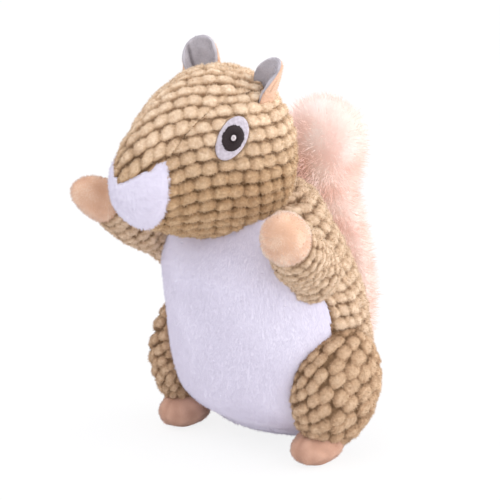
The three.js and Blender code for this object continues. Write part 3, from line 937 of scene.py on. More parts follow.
@dataclass(frozen=True)
class Plush(Finish):
    """A fabric whose colours run from its pits to its tops, and may change up the toy to paint light and
    shade by height.

    Attributes:
        tones: Its colours.
        upper: Its colours higher up, or none where they stay the same; where given, painted light and shade
            by height.
        fade: The heights in mm between which the upper colours come in.
        sheen: How much its fine hairs shine.
        clumps: How strongly small clumps of its fibres show.
    """

    tones: Tones = Tones(srgb(120, 89, 60), srgb(188, 152, 113), srgb(216, 185, 147))
    upper: Optional[Tones] = None
    fade: tuple[float, float] = (148.0, 182.0)
    sheen: float = 0.05
    clumps: float = 0.7

    def palette(self, bench: Bench) -> tuple[Any, Any, Any]:
        """Gives the colours of the pits, the sides and the tops, changing with height as painted light and
        shade.
        """
        low, high = self.tones, self.upper
        if high is None:
            return low.pit, low.middle, low.top
        # Painted light and shade: the colours change with height.
        share = bench.height().between(self.fade[0] * MM, self.fade[1] * MM)
        pairs = ((low.pit, high.pit), (low.middle, high.middle), (low.top, high.top))
        pit, middle, top = (bench.mix(share, first, second) for first, second in pairs)
        return pit, middle, top

    def mottle(self, bench: Bench) -> Value:
        """Gives the uneven look of the fibres: broad patches with small clumps in them."""
        return (bench.noise(16, 3) - 0.5) * 0.3 + (bench.noise(1.7, 2) - 0.5) * self.clumps


@dataclass(frozen=True)
class BumpyPlush(Plush):
    """Popcorn plush: dark brown in the pits, pale on the bumps, partly its own colour and partly painted
    shade in the pits.
    """

    def shade(self, bench: Bench) -> bpy.types.Material:
        """Makes the shader."""
        pit, middle, top = self.palette(bench)
        fine = bench.noise(0.9, 3)
        # Painted shade in part: the rise mark darkens the colour towards the pits, with noise for the
        # fibres' real mottle.
        relief_shade_and_mottle = bench.mark("rise") + (fine - 0.5) * 0.25 + self.mottle(bench)
        low = bench.mix(relief_shade_and_mottle.between(0.15, 0.75), pit, middle)
        return bench.close({
            "Base Color": bench.mix(relief_shade_and_mottle.between(0.65, 1.05), low, top),
            "Roughness": 0.95,
            "Sheen Weight": self.sheen,
            "Sheen Roughness": 0.6,
            "Specular IOR Level": 0.15,
            "Normal": bench.bump(fine, 0.6, 0.5),
        })


@dataclass(frozen=True)
class Fuzz(Plush):
    """Pile or nap, darker at its roots and in the pits of what it grows on, lighter at its tips: partly its
    own colour, partly painted shade and highlight.
    """

    def shade(self, bench: Bench) -> bpy.types.Material:
        """Makes the shader."""
        pit, middle, top = self.palette(bench)
        tone = bench.mark("tone")
        relief_shade_and_mottle = bench.mark("rise") + (tone - 0.5) * 0.2 + self.mottle(bench)
        low = bench.mix(relief_shade_and_mottle.between(0.15, 0.75), pit, middle)
        # Painted highlight in part: the tips are mixed towards the top colour.
        high = (bench.mark("tip") * (0.55 + tone * 0.45)) * relief_shade_and_mottle.between(0.4, 0.95)
        return bench.close({
            "Base Color": bench.mix(high, low, top),
            "Roughness": 0.9,
            "Sheen Weight": self.sheen,
            "Sheen Roughness": 0.5,
            "Specular IOR Level": 0.2,
        })


@dataclass(frozen=True)
class Nap(Finish):
    """A smooth short-haired cloth with faint streaks, such as velour, felt or a backing cloth."""

    dark: Colour = srgb(218, 158, 116)
    light: Colour = srgb(238, 188, 148)
    grain: float = 0.7
    relief: float = 0.1
    sheen: float = 0.06

    def shade(self, bench: Bench) -> bpy.types.Material:
        """Makes the shader."""
        fine = bench.noise(self.grain, 3)
        broad = bench.noise(9, 2)
        shade = fine * 0.25 + broad * 0.3 + bench.mark("rise") * 0.45
        return bench.close({
            "Base Color": bench.mix(shade.between(0.1, 0.9), self.dark, self.light),
            "Roughness": 0.92,
            "Sheen Weight": self.sheen,
            "Sheen Roughness": 0.5,
            "Specular IOR Level": 0.15,
            "Normal": bench.bump(fine, 0.6, self.relief),
        })


@dataclass(frozen=True)
class Thread(Finish):
    """Satin stitches, which run out from the middle of what they fill."""

    dark: Colour = srgb(26, 14, 17)
    light: Colour = srgb(50, 34, 37)
    shine: float = 0.02

    def shade(self, bench: Bench) -> bpy.types.Material:
        """Makes the shader."""
        stitch = bench.mark("rise")
        fine = bench.noise(0.5, 2)
        shade = stitch + (fine - 0.5) * 0.4
        return bench.close({
            "Base Color": bench.mix(shade.between(0.1, 1.0), self.dark, self.light),
            "Roughness": 0.62 - stitch * 0.2,
            "Sheen Weight": self.shine,
            "Sheen Roughness": 0.4,
            "Specular IOR Level": 0.3,
            "Normal": bench.bump(fine, 0.4, 0.15),
        })


@dataclass(frozen=True)
class Moulded(Finish):
    """Moulded plastic with a faint skin and cloudy colour."""

    dark: Colour = srgb(206, 214, 220)
    light: Colour = srgb(226, 232, 238)
    rough: float = 0.45

    def shade(self, bench: Bench) -> bpy.types.Material:
        """Makes the shader."""
        cloudy = bench.noise(7, 2)
        fine = bench.noise(0.4, 2)
        return bench.close({
            "Base Color": bench.mix(cloudy, self.dark, self.light),
            "Roughness": self.rough + (cloudy - 0.5) * 0.2,
            "Normal": bench.bump(fine, 0.25, 0.05),
        })


# One tan plush in painted light and shade: CHEEK shaded and BROW lit for the head, FLANK lit for torso and
# sleeves, LEG darker for the haunches.
CHEEK = Tones(srgb(112, 83, 55), srgb(182, 147, 109), srgb(209, 178, 142))
CHEEK_FUZZ = Tones(srgb(126, 96, 67), srgb(187, 153, 115), srgb(220, 194, 161))
BROW = Tones(srgb(170, 138, 106), srgb(218, 189, 157), srgb(240, 218, 190))
BROW_FUZZ = Tones(srgb(176, 144, 112), srgb(220, 191, 159), srgb(246, 227, 202))
FLANK = Tones(srgb(140, 110, 82), srgb(202, 172, 142), srgb(228, 204, 177))
FLANK_FUZZ = Tones(srgb(152, 121, 92), srgb(207, 178, 147), srgb(236, 215, 190))
LEG = Tones(srgb(138, 108, 80), srgb(184, 151, 119), srgb(210, 181, 150))
LEG_FUZZ = Tones(srgb(142, 111, 80), srgb(192, 159, 125), srgb(223, 197, 167))
WHITE = Tones(srgb(217, 211, 227), srgb(221, 215, 231), srgb(227, 222, 237))

HEAD_PLUSH = BumpyPlush("head_popcorn_plush", "tan_plush", tones=CHEEK, upper=BROW)
HEAD_FUZZ = Fuzz("head_fuzz", "tan_plush", tones=CHEEK_FUZZ, upper=BROW_FUZZ)
BODY_PLUSH = BumpyPlush("body_popcorn_plush", "tan_plush", tones=FLANK)
BODY_FUZZ = Fuzz("body_fuzz", "tan_plush", tones=FLANK_FUZZ)
HAUNCH_PLUSH = BumpyPlush("haunch_popcorn_plush", "tan_plush", tones=LEG)
HAUNCH_FUZZ = Fuzz("haunch_fuzz", "tan_plush", tones=LEG_FUZZ)
WHITE_CLOTH = Nap("white_plush_backing", "white_plush", dark=srgb(212, 206, 221), light=srgb(226, 221, 234))
WHITE_PILE = Fuzz("white_short_pile", "white_plush", airy=True, tones=WHITE, clumps=0.1)
PEACH = Nap("hand_velour", "peach_velour", dark=srgb(207, 162, 133), light=srgb(226, 186, 158))
PEACH_NAP = Fuzz("peach_nap", "peach_velour", airy=True, sheen=0.4,
                 tones=Tones(srgb(215, 173, 145), srgb(224, 186, 158), srgb(244, 226, 202)))
# The feet wear the hands' peach velour, given darker colours here.
FOOT_PEACH = Nap("foot_velour", "peach_velour", dark=srgb(182, 140, 118), light=srgb(210, 168, 145))
FOOT_NAP = Fuzz("foot_nap", "peach_velour", airy=True, sheen=0.2,
                tones=Tones(srgb(190, 149, 127), srgb(201, 160, 138), srgb(213, 175, 153)))
GREY = Nap("ear_velour", "grey_velour", dark=srgb(104, 98, 102), light=srgb(202, 197, 202))
GREY_NAP = Fuzz("grey_nap", "grey_velour", airy=True,
                tones=Tones(srgb(112, 106, 111), srgb(170, 165, 171), srgb(195, 190, 196)))
PINK_CLOTH = Nap("tail_backing", "pink_fur", dark=srgb(246, 214, 204), light=srgb(252, 232, 225))
# Painted light: the tail's pile is coloured lighter towards its top, which stands in more light than its
# shaded middle.
PINK_PILE = Fuzz("tail_long_pile", "pink_fur", airy=True, sheen=0.2, fade=(120.0, 165.0),
                 tones=Tones(srgb(243, 196, 180), srgb(250, 216, 202), srgb(255, 241, 235)),
                 upper=Tones(srgb(255, 219, 207), srgb(255, 231, 221), srgb(255, 247, 243)))
FELT = Nap("eye_felt", "white_felt", dark=srgb(172, 163, 170), light=srgb(206, 198, 206), grain=0.9,
           relief=0.4)
DARK_THREAD = Thread("iris_stitches", "dark_thread")
WHITE_THREAD = Thread("glint_stitches", "white_thread", dark=srgb(190, 176, 178), light=srgb(240, 234, 234))
FIBRE = Nap("filling_fibre", "fibre_filling", dark=srgb(214, 214, 210), light=srgb(248, 248, 246), grain=1.2,
            relief=1.0)
SOFT_PLASTIC = Moulded("squeaker_soft_plastic", "soft_plastic")
HARD_PLASTIC = Moulded("reed_hard_plastic", "hard_plastic", dark=srgb(236, 236, 230),
                       light=srgb(250, 250, 246), rough=0.25)

SHORT_FUZZ = Pile(close=3.0, long=1.7, thick=0.15, stand=0.75, ragged=0.5)
WHITE_SHORT = Pile(close=3.2, long=2.4, thick=0.24, stand=0.35, ragged=0.2)
HAND_NAP = Pile(close=3.4, long=1.7, thick=0.18, stand=0.6, ragged=0.35)
VELOUR_NAP = Pile(close=3.4, long=1.3, thick=0.15, stand=0.7, ragged=0.4)
MUZZLE_SHORT = Pile(close=3.4, long=2.4, thick=0.22, stand=0.4, ragged=0.22)
TAIL_LONG = Pile(close=5.4, long=9.5, thick=0.2, stand=0.5, ragged=0.3, uneven=0.55, bow=0.12)

PLUSH_THICK = 2.6
VELOUR_THICK = 1.6
OVER_FLOOR = 0.1  # fabric that rests on the floor stays this far over it


def leaned(sheet: Sheet, popcorn: Popcorn, press: Array, proud: float, sag: float) -> tuple[Array, Array]:
    """Raises popcorn plush on a sheet, with bumps that hang down a little.

    Args:
        sheet: The sheet.
        popcorn: The bumps.
        press: From 1, full bumps, to 0, pressed flat and drawn in, at each point.
        proud: How far the bumps' tops stand over the sheet.
        sag: How far the tops hang down.

    Returns:
        The outer points, and the height of the bumps from 0 to 1.
    """
    height = popcorn.height(sheet.around, sheet.along)
    drift = popcorn.deep * popcorn.drift * soft_noise(sheet.points, popcorn.drift_size, popcorn.seed)
    rough = sum(
        high * fine_noise(sheet.points, size, popcorn.seed + number)
        for number, (high, size) in enumerate(popcorn.lint)
    )
    lift = proud + rough + drift - popcorn.deep * (1 - height * press) * (1 - 0.25 * (1 - press))
    normals = sheet.normals
    down = np.array([0.0, 0.0, -1.0]) + normals * normals[..., 2:3]
    outer = sheet.points + normals * lift[..., None] + down * (sag * height * press)[..., None]
    return outer, height * (0.25 + 0.75 * press)


def smoothed(sheet: Sheet, proud: float, wave: float, size: float, seed: float) -> tuple[Array, Array]:
    """Lays a smooth cloth on a sheet with slow waves in it.

    Args:
        sheet: The sheet.
        proud: How far the cloth stands over the sheet.
        wave: Height of the waves.
        size: How far apart they are.
        seed: Changes their pattern.

    Returns:
        The outer points, and the height of the waves from 0 to 1.
    """
    height = soft_noise(sheet.points, size, seed)
    outer = sheet.points + sheet.normals * (proud + wave * height)[..., None]
    return outer, 0.5 + 0.5 * height


@dataclass
class Torso:
    """The sitting body: a white tummy panel, and two tan panels that meet down the back."""

    stations: tuple[tuple[float, ...], ...] = (
        (-0.5, 27, 38, 24), (11, 18, 45, 38), (28, 11, 49, 44.5), (52, 8, 51.5, 48.5), (78, 3, 50, 48),
        (96, -3, 47, 46.5), (110, -5, 41.5, 41.5), (124, -5, 34, 34), (140, -5, 26, 26),
    )
    bottom_round: float = 22.0
    top_round: float = 12.0
    step: float = 0.85
    seam_wide: float = 2.2
    back_seam_wide: float = 1.6
    back_press: float = 0.85
    chest_seam: tuple[float, float] = (-24.0, 103.0)
    arm_seam: tuple[float, float] = (-5.0, 77.0)
    arm_bend: float = 90.0
    under_bend: float = 34.0
    under_seam: tuple[float, float] = (34.0, 9.0)
    tummy_step: float = 1.3
    tummy_tuck: float = 1.4
    tummy_tuck_wide: float = 2.0
    front_lift: float = 6.0
    lift_from: tuple[float, float] = (-18.0, -52.0)
    lift_below: tuple[float, float] = (34.0, 4.0)
    lift_off_seam: tuple[float, float] = (0.0, 16.0)
    press_way: tuple[float, float, float] = (0.0, -0.979, -0.204)
    press_start: float = 34.0
    press_end: float = 60.0
    inside_give: float = 5.0
    floor_pile: tuple[float, float] = (0.5, 6.0)  # heights between which the pile gets its length
    floor_pile_short: float = 0.25
    skin_step: float = 3.0

    def form(self) -> Form:
        """Gives the stuffed form in the part's frame."""
        rows = np.array(self.stations)
        spine = np.stack([np.zeros(len(rows)), rows[:, 1] - SEAT_Y, rows[:, 0]], axis=1)
        return Form(spine, rows[:, 2:], self.bottom_round, self.top_round, np.array([0.0, 1.0, 0.0]))

    def seam(self) -> tuple[Array, Array]:
        """Gives the heights and the y places of the tummy's seam, from its foot up."""
        share = np.linspace(0, 1, 40)
        low = np.stack([(1 - share) ** 2, 2 * share * (1 - share), share**2])
        foot_y = low.T @ np.array([self.under_seam[0], self.arm_seam[0], self.arm_seam[0]])
        foot_z = low.T @ np.array([self.under_seam[1], self.under_seam[1], self.under_bend])
        high = cubic_weights(share)
        arm_y = high @ np.array([self.arm_seam[0], self.arm_seam[0], self.chest_seam[0], self.chest_seam[0]])
        arm_z = high @ np.array([self.arm_seam[1], self.arm_bend, self.arm_bend, self.chest_seam[1]])
        return np.concatenate([foot_z, arm_z]), np.concatenate([foot_y, arm_y]) - SEAT_Y

    def behind_seam(self, points: Array) -> Array:
        """Tells how far points lie behind the tummy's seam, less than 0 on the tummy."""
        heights, places = self.seam()
        edge = np.interp(points[..., 2], heights, places)
        return np.where(points[..., 2] < self.under_seam[1], -1.0, points[..., 1] - edge)

    def build(self, maker: Maker) -> None:
        """Builds the three panels and their pile."""
        sheet = self.form().sheet(self.step, math.pi / 2)
        away = np.abs(self.behind_seam(sheet.points))
        seam = 1 - np.exp(-((away / self.seam_wide) ** 2))
        back = 1 - self.back_press * np.exp(-((sheet.points[..., 0] / self.back_seam_wide) ** 2))
        press = np.where(sheet.points[..., 1] > 0, seam * back, seam)
        popcorn = Popcorn(across=7.8, rows=7.2, deep=3.3, shift=0.5, loose=0.12, lean=0.3, seed=2.0)
        outer, rise = leaned(sheet, popcorn, press, proud=0.5, sag=0.8)
        outer[..., 2] = np.maximum(outer[..., 2], OVER_FLOOR)
        for side in Side:
            def tan(points: Array, sign: int = side.value) -> Array:
                """Picks the tan panel of one side."""
                return (self.behind_seam(points) > 0) & (points[..., 0] * sign >= 0)

            fabric = Fabric.of(sheet, outer, rise, tan)
            name = f"torso_{side.label}_panel"
            cover = maker.cover(f"{name}_plush", fabric, PLUSH_THICK, BODY_PLUSH)
            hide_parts(name)
            fuzz = maker.strands(f"{name}_fuzz", SHORT_FUZZ.grown(fabric), BODY_FUZZ)
            for piece in (cover, fuzz):
                self.carry(piece)
        self.build_tummy(maker)

    def build_tummy(self, maker: Maker) -> None:
        """Builds the white tummy panel and its pile."""
        sheet = self.form().sheet(self.tummy_step, -math.pi / 2)
        outer, rise = smoothed(sheet, proud=0.1, wave=0.3, size=40, seed=3.0)
        away = np.abs(self.behind_seam(sheet.points))
        tuck = self.tummy_tuck * np.exp(-((away / self.tummy_tuck_wide) ** 2))
        outer -= sheet.normals * tuck[..., None]
        lift = eased(*self.lift_from, sheet.points[..., 1]) * eased(*self.lift_below, sheet.points[..., 2])
        lift = lift * eased(*self.lift_off_seam, away)
        outer[..., 2] = np.maximum(outer[..., 2], OVER_FLOOR) + self.front_lift * lift

        def white(points: Array) -> Array:
            """Picks the tummy panel."""
            return self.behind_seam(points) <= 0

        fabric = Fabric.of(sheet, outer, rise, white)
        tummy = maker.cover("tummy_panel_plush", fabric, PLUSH_THICK, WHITE_CLOTH)
        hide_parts("tummy_panel")
        pile = maker.strands("tummy_panel_pile", self.tummy_pile(fabric), WHITE_PILE)
        for piece in (tummy, pile):
            self.give_way(piece)

    def carry(self, piece: bpy.types.Object) -> None:
        """Lets a piece ride on the torso."""
        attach(piece, "torso")

    def give_inside(self, piece: bpy.types.Object) -> None:
        """Bakes the placing of a piece inside the torso into its points."""
        self.give_way(piece)

    def give_way(self, piece: bpy.types.Object) -> None:
        """Bakes a piece's placing into its points.

        Args:
            piece: The piece.
        """
        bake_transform(piece)

    def tummy_pile(self, fabric: Fabric) -> Tufts:
        """Grows the tummy's pile, none of it through the floor.

        Args:
            fabric: The tummy panel.

        Returns:
            The spikes.
        """
        short = self.floor_pile_short
        lengths = short + (1 - short) * eased(*self.floor_pile, fabric.outer[:, 2])
        tufts = WHITE_SHORT.grown(fabric, lengths=lengths)
        tufts.ways[:, 2] = np.maximum(tufts.ways[:, 2], OVER_FLOOR - tufts.roots[:, 2])
        return tufts


@dataclass
class Haunch:
    """A hind leg: a tan haunch and a peach foot that looks out below it."""

    side: Side
    inside: BVHTree
    middle: tuple[float, float, float] = (45.0, 3.0, 38.5)
    size: tuple[float, float, float] = (17.5, 29.0, 32.0)
    foot_middle: tuple[float, float, float] = (43.0, -8.0, 8.5)
    foot_size: tuple[float, float, float] = (10.5, 15.5, 9.0)
    step: float = 0.75
    foot_step: float = 0.6
    flat_share: float = 0.92  # how much of the way over the ball counts as way on its flat map
    free: tuple[float, float] = (-1.5, 5.0)  # heights over the torso between which the bumps rise
    buried: float = 2.5  # faces deeper in the torso than this are left out
    rows_turn: float = 28.0
    toe: tuple[float, float] = (-30.0, -42.0)
    crease_wide: float = 1.3
    crease_deep: float = 0.5
    crease_shade: float = 0.8
    sole_over: float = 0.15
    sole_wave: float = 0.2
    sole_nap: tuple[float, float] = (0.4, 3.0)  # heights between which the nap gets its length

    def ball(self, middle: Sequence[float], size: Sequence[float], step: float) -> Sheet:
        """Lays a sheet over an oval ball, with its first pole on the squirrel's outer side.

        Args:
            middle: The ball's middle on the squirrel's left side.
            size: Its half sizes.
            step: About how far apart the points lie.

        Returns:
            The sheet, whose lengths along and round are a flat map of the outer side.
        """
        sign = self.side.value
        rows = int(math.pi * max(size) / step)
        columns = int(FULL_TURN * max(size) / step)
        polar = np.linspace(0, math.pi, rows + 1)[:, None]
        angle = np.linspace(0, FULL_TURN, columns + 1)[None, :]
        across = np.cos(polar) * np.ones_like(angle) * sign
        ahead = np.sin(polar) * np.cos(angle)
        up = np.sin(polar) * np.sin(angle)
        way = np.stack([across, ahead, up], axis=-1)
        place = np.array([middle[0] * sign, middle[1] - SEAT_Y, middle[2]])
        points = way * np.array(size) + place
        normals = unit(way / np.array(size))
        flat_y = polar * np.cos(angle) * size[1] * self.flat_share
        flat_z = polar * np.sin(angle) * size[2] * self.flat_share
        return Sheet(points, normals, flat_z, flat_y)

    def build(self, maker: Maker) -> None:
        """Builds the haunch and the foot."""
        sheet = self.ball(self.middle, self.size, self.step)
        sign = self.side.value
        popcorn = Popcorn(across=9.0, rows=8.4, deep=2.9, turn=self.rows_turn * sign, shift=0.4, loose=0.22,
                          lean=0.2, seed=5.0 + sign)
        press = eased(*self.free, -self.depth(sheet.points))
        outer, rise = leaned(sheet, popcorn, press, proud=0.6, sag=0.9)
        outer[..., 2] = np.maximum(outer[..., 2], OVER_FLOOR)

        def showing(points: Array) -> Array:
            """Picks what isn't buried in the torso."""
            return self.depth(points) < self.buried

        fabric = Fabric.of(sheet, outer, rise, showing)
        name = f"{self.side.label}_haunch"
        cover = maker.cover(f"{name}_plush", fabric, PLUSH_THICK, HAUNCH_PLUSH)
        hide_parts(f"{name}_cover")
        fuzz = maker.strands(f"{name}_fuzz", SHORT_FUZZ.grown(fabric), HAUNCH_FUZZ)
        for piece in (cover, fuzz):
            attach(piece, "torso")
        self.build_foot(maker)

    def depth(self, points: Array) -> Array:
        """Tells how deep points lie in the torso, less than 0 outside it.

        Args:
            points: Points in mm.

        Returns:
            The depth of each point.
        """
        flat = points.reshape(-1, 3)
        deep = np.empty(len(flat))
        for number, point in enumerate(flat):
            spot, normal, _, _ = self.inside.find_nearest(Vector(point))
            deep[number] = (spot - Vector(point)).dot(normal)
        return deep.reshape(points.shape[:-1])

    def build_foot(self, maker: Maker) -> None:
        """Builds the foot, flat below, with a crease down its toe."""
        sheet = self.ball(self.foot_middle, self.foot_size, self.foot_step)
        outer, rise = smoothed(sheet, proud=0.2, wave=0.3, size=9, seed=7.0)
        off_middle = sheet.points[..., 0] - self.foot_middle[0] * self.side.value
        crease = np.exp(-((off_middle / self.crease_wide) ** 2)) * eased(*self.toe, sheet.points[..., 1])
        outer -= sheet.normals * (self.crease_deep * crease)[..., None]
        outer[..., 2] = np.maximum(outer[..., 2], self.sole_over + self.sole_wave * rise)
        name = f"{self.side.label}_foot"
        fabric = Fabric.of(sheet, outer, rise * (1 - self.crease_shade * crease))
        cover = maker.cover(f"{name}_velour", fabric, VELOUR_THICK, FOOT_PEACH)
        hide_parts(name)
        tufts = VELOUR_NAP.grown(fabric, lengths=eased(*self.sole_nap, fabric.outer[:, 2]))
        nap = maker.strands(f"{name}_nap", tufts, FOOT_NAP)
        for piece in (cover, nap):
            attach(piece, "torso")


@dataclass
class Arm:
    """A raised arm: a tan sleeve and a peach hand."""

    side: Side
    shoulder: tuple[float, float, float] = (44.0, -13.0, 100.0)
    hand_tip: tuple[float, float, float] = (62.0, -64.0, 141.0)
    ball: float = 15.0
    waist_at: float = 9.5
    waist: float = 13.2
    sleeve_at: float = 24.7
    sleeve: float = 14.2
    sleeve_foot: float = -13.0
    wrist_at: float = 42.0
    wrist: float = 11.6
    hand_at: float = 50.0
    hand: float = 11.8
    right_lower: float = 6.0
    right_hand: float = 10.0
    right_wrist_at: float = 46.0
    right_wrist_over: float = 0.8
    swing: tuple[float, float] = (0.976, -0.217)
    thick: float = 2.4
    step: float = 0.7
    seam_wide: float = 1.5
    bend_long: float = 16.0
    hand_tuck: float = 1.3
    hand_tuck_wide: float = 1.6

    def __post_init__(self) -> None:
        """Gives the right arm its slimmer hand and longer sleeve."""
        if self.side is Side.RIGHT:
            self.hand, self.wrist_at = self.right_hand, self.right_wrist_at
            self.wrist = min(self.wrist, self.hand + self.right_wrist_over)

    def ends(self) -> tuple[Array, Array]:
        """Gives the shoulder's middle and the hand's tip in the part's frame."""
        sign = np.array([self.side.value, 1, 1])
        root = np.array(self.shoulder) * sign - np.array([0, SEAT_Y, 0])
        reach = Vector((np.array(self.hand_tip) - np.array(self.shoulder)) * sign)
        if self.side is Side.RIGHT:
            axis = Vector((self.swing[0], self.swing[1] * self.side.value, 0))
            reach = Matrix.Rotation(math.radians(self.right_lower), 3, axis) @ reach
        return root, root + np.array(reach)

    def form(self) -> Form:
        """Gives the stuffed form."""
        root, tip = self.ends()
        long = float(np.linalg.norm(tip - root))
        places = [
            (-self.ball, self.ball), (0, self.ball), (self.waist_at, self.waist),
            (self.sleeve_at, self.sleeve), (self.wrist_at, self.wrist), (self.hand_at, self.hand),
            (long, self.hand),
        ]
        way = (tip - root) / long
        spine = np.array([root + way * place for place, _ in places])
        sizes = np.array([(size, size) for _, size in places])
        return Form(spine, sizes, self.ball, long - self.hand_at, None)

    def build(self, maker: Maker) -> None:
        """Builds the sleeve and the hand."""
        root, tip = self.ends()
        way = unit(tip - root)
        form = self.form()
        form.upright = unit(np.cross(np.array([1.0, 0.0, 0.0]), way))
        sheet = form.sheet(self.step, -math.pi / 2)

        def reach(points: Array) -> Array:
            """Tells how far along the arm points lie."""
            return (points - root) @ way

        def in_sleeve(points: Array) -> Array:
            """Picks the sleeve."""
            return (reach(points) < self.wrist_at) & (reach(points) > self.sleeve_foot)

        seam = 1 - np.exp(-(((reach(sheet.points) - self.wrist_at) / self.seam_wide) ** 2))
        popcorn = Popcorn(across=6.4, rows=5.6, deep=2.0, shift=0.5, loose=0.12, seed=9.0 + self.side.value)
        outer, rise = leaned(sheet, popcorn, seam, proud=0.4, sag=0.5)
        fabric = Fabric.of(sheet, outer, rise, in_sleeve)
        name = self.side.label
        cover = maker.cover(f"{name}_sleeve_plush", fabric, self.thick, BODY_PLUSH)
        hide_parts(f"{name}_sleeve")
        fuzz = maker.strands(f"{name}_sleeve_fuzz", SHORT_FUZZ.grown(fabric), BODY_FUZZ)
        for piece in (cover, fuzz):
            self.bend(piece)
        self.build_hand(maker, sheet, reach)

    def bend(self, piece: bpy.types.Object) -> None:
        """Bakes a piece's placing into its points."""
        root, tip = self.ends()
        end = root + unit(tip - root) * self.bend_long
        end * MM
        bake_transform(piece)

    def build_hand(self, maker: Maker, sheet: Sheet, reach: Callable[[Array], Array]) -> None:
        """Builds the hand.

        Args:
            maker: Makes the pieces.
            sheet: The arm's sheet.
            reach: Tells how far along the arm points lie.
        """
        outer, rise = smoothed(sheet, proud=0.3, wave=0.35, size=11, seed=4.0)
        drawn = np.exp(-(((reach(sheet.points) - self.wrist_at) / self.hand_tuck_wide) ** 2))
        outer -= sheet.normals * (self.hand_tuck * drawn)[..., None]

        def in_hand(points: Array) -> Array:
            """Picks the hand."""
            return reach(points) >= self.wrist_at

        # Painted shade: the hand's colour is darkened where it is drawn in at the wrist.
        fabric = Fabric.of(sheet, outer, rise * (1 - drawn), in_hand)
        name = f"{self.side.label}_hand"
        cover = maker.cover(f"{name}_velour", fabric, VELOUR_THICK, PEACH)
        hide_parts(name)
        nap = maker.strands(f"{name}_nap", HAND_NAP.grown(fabric), PEACH_NAP)
        for piece in (cover, nap):
            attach(piece, f"{self.side.label}_arm")


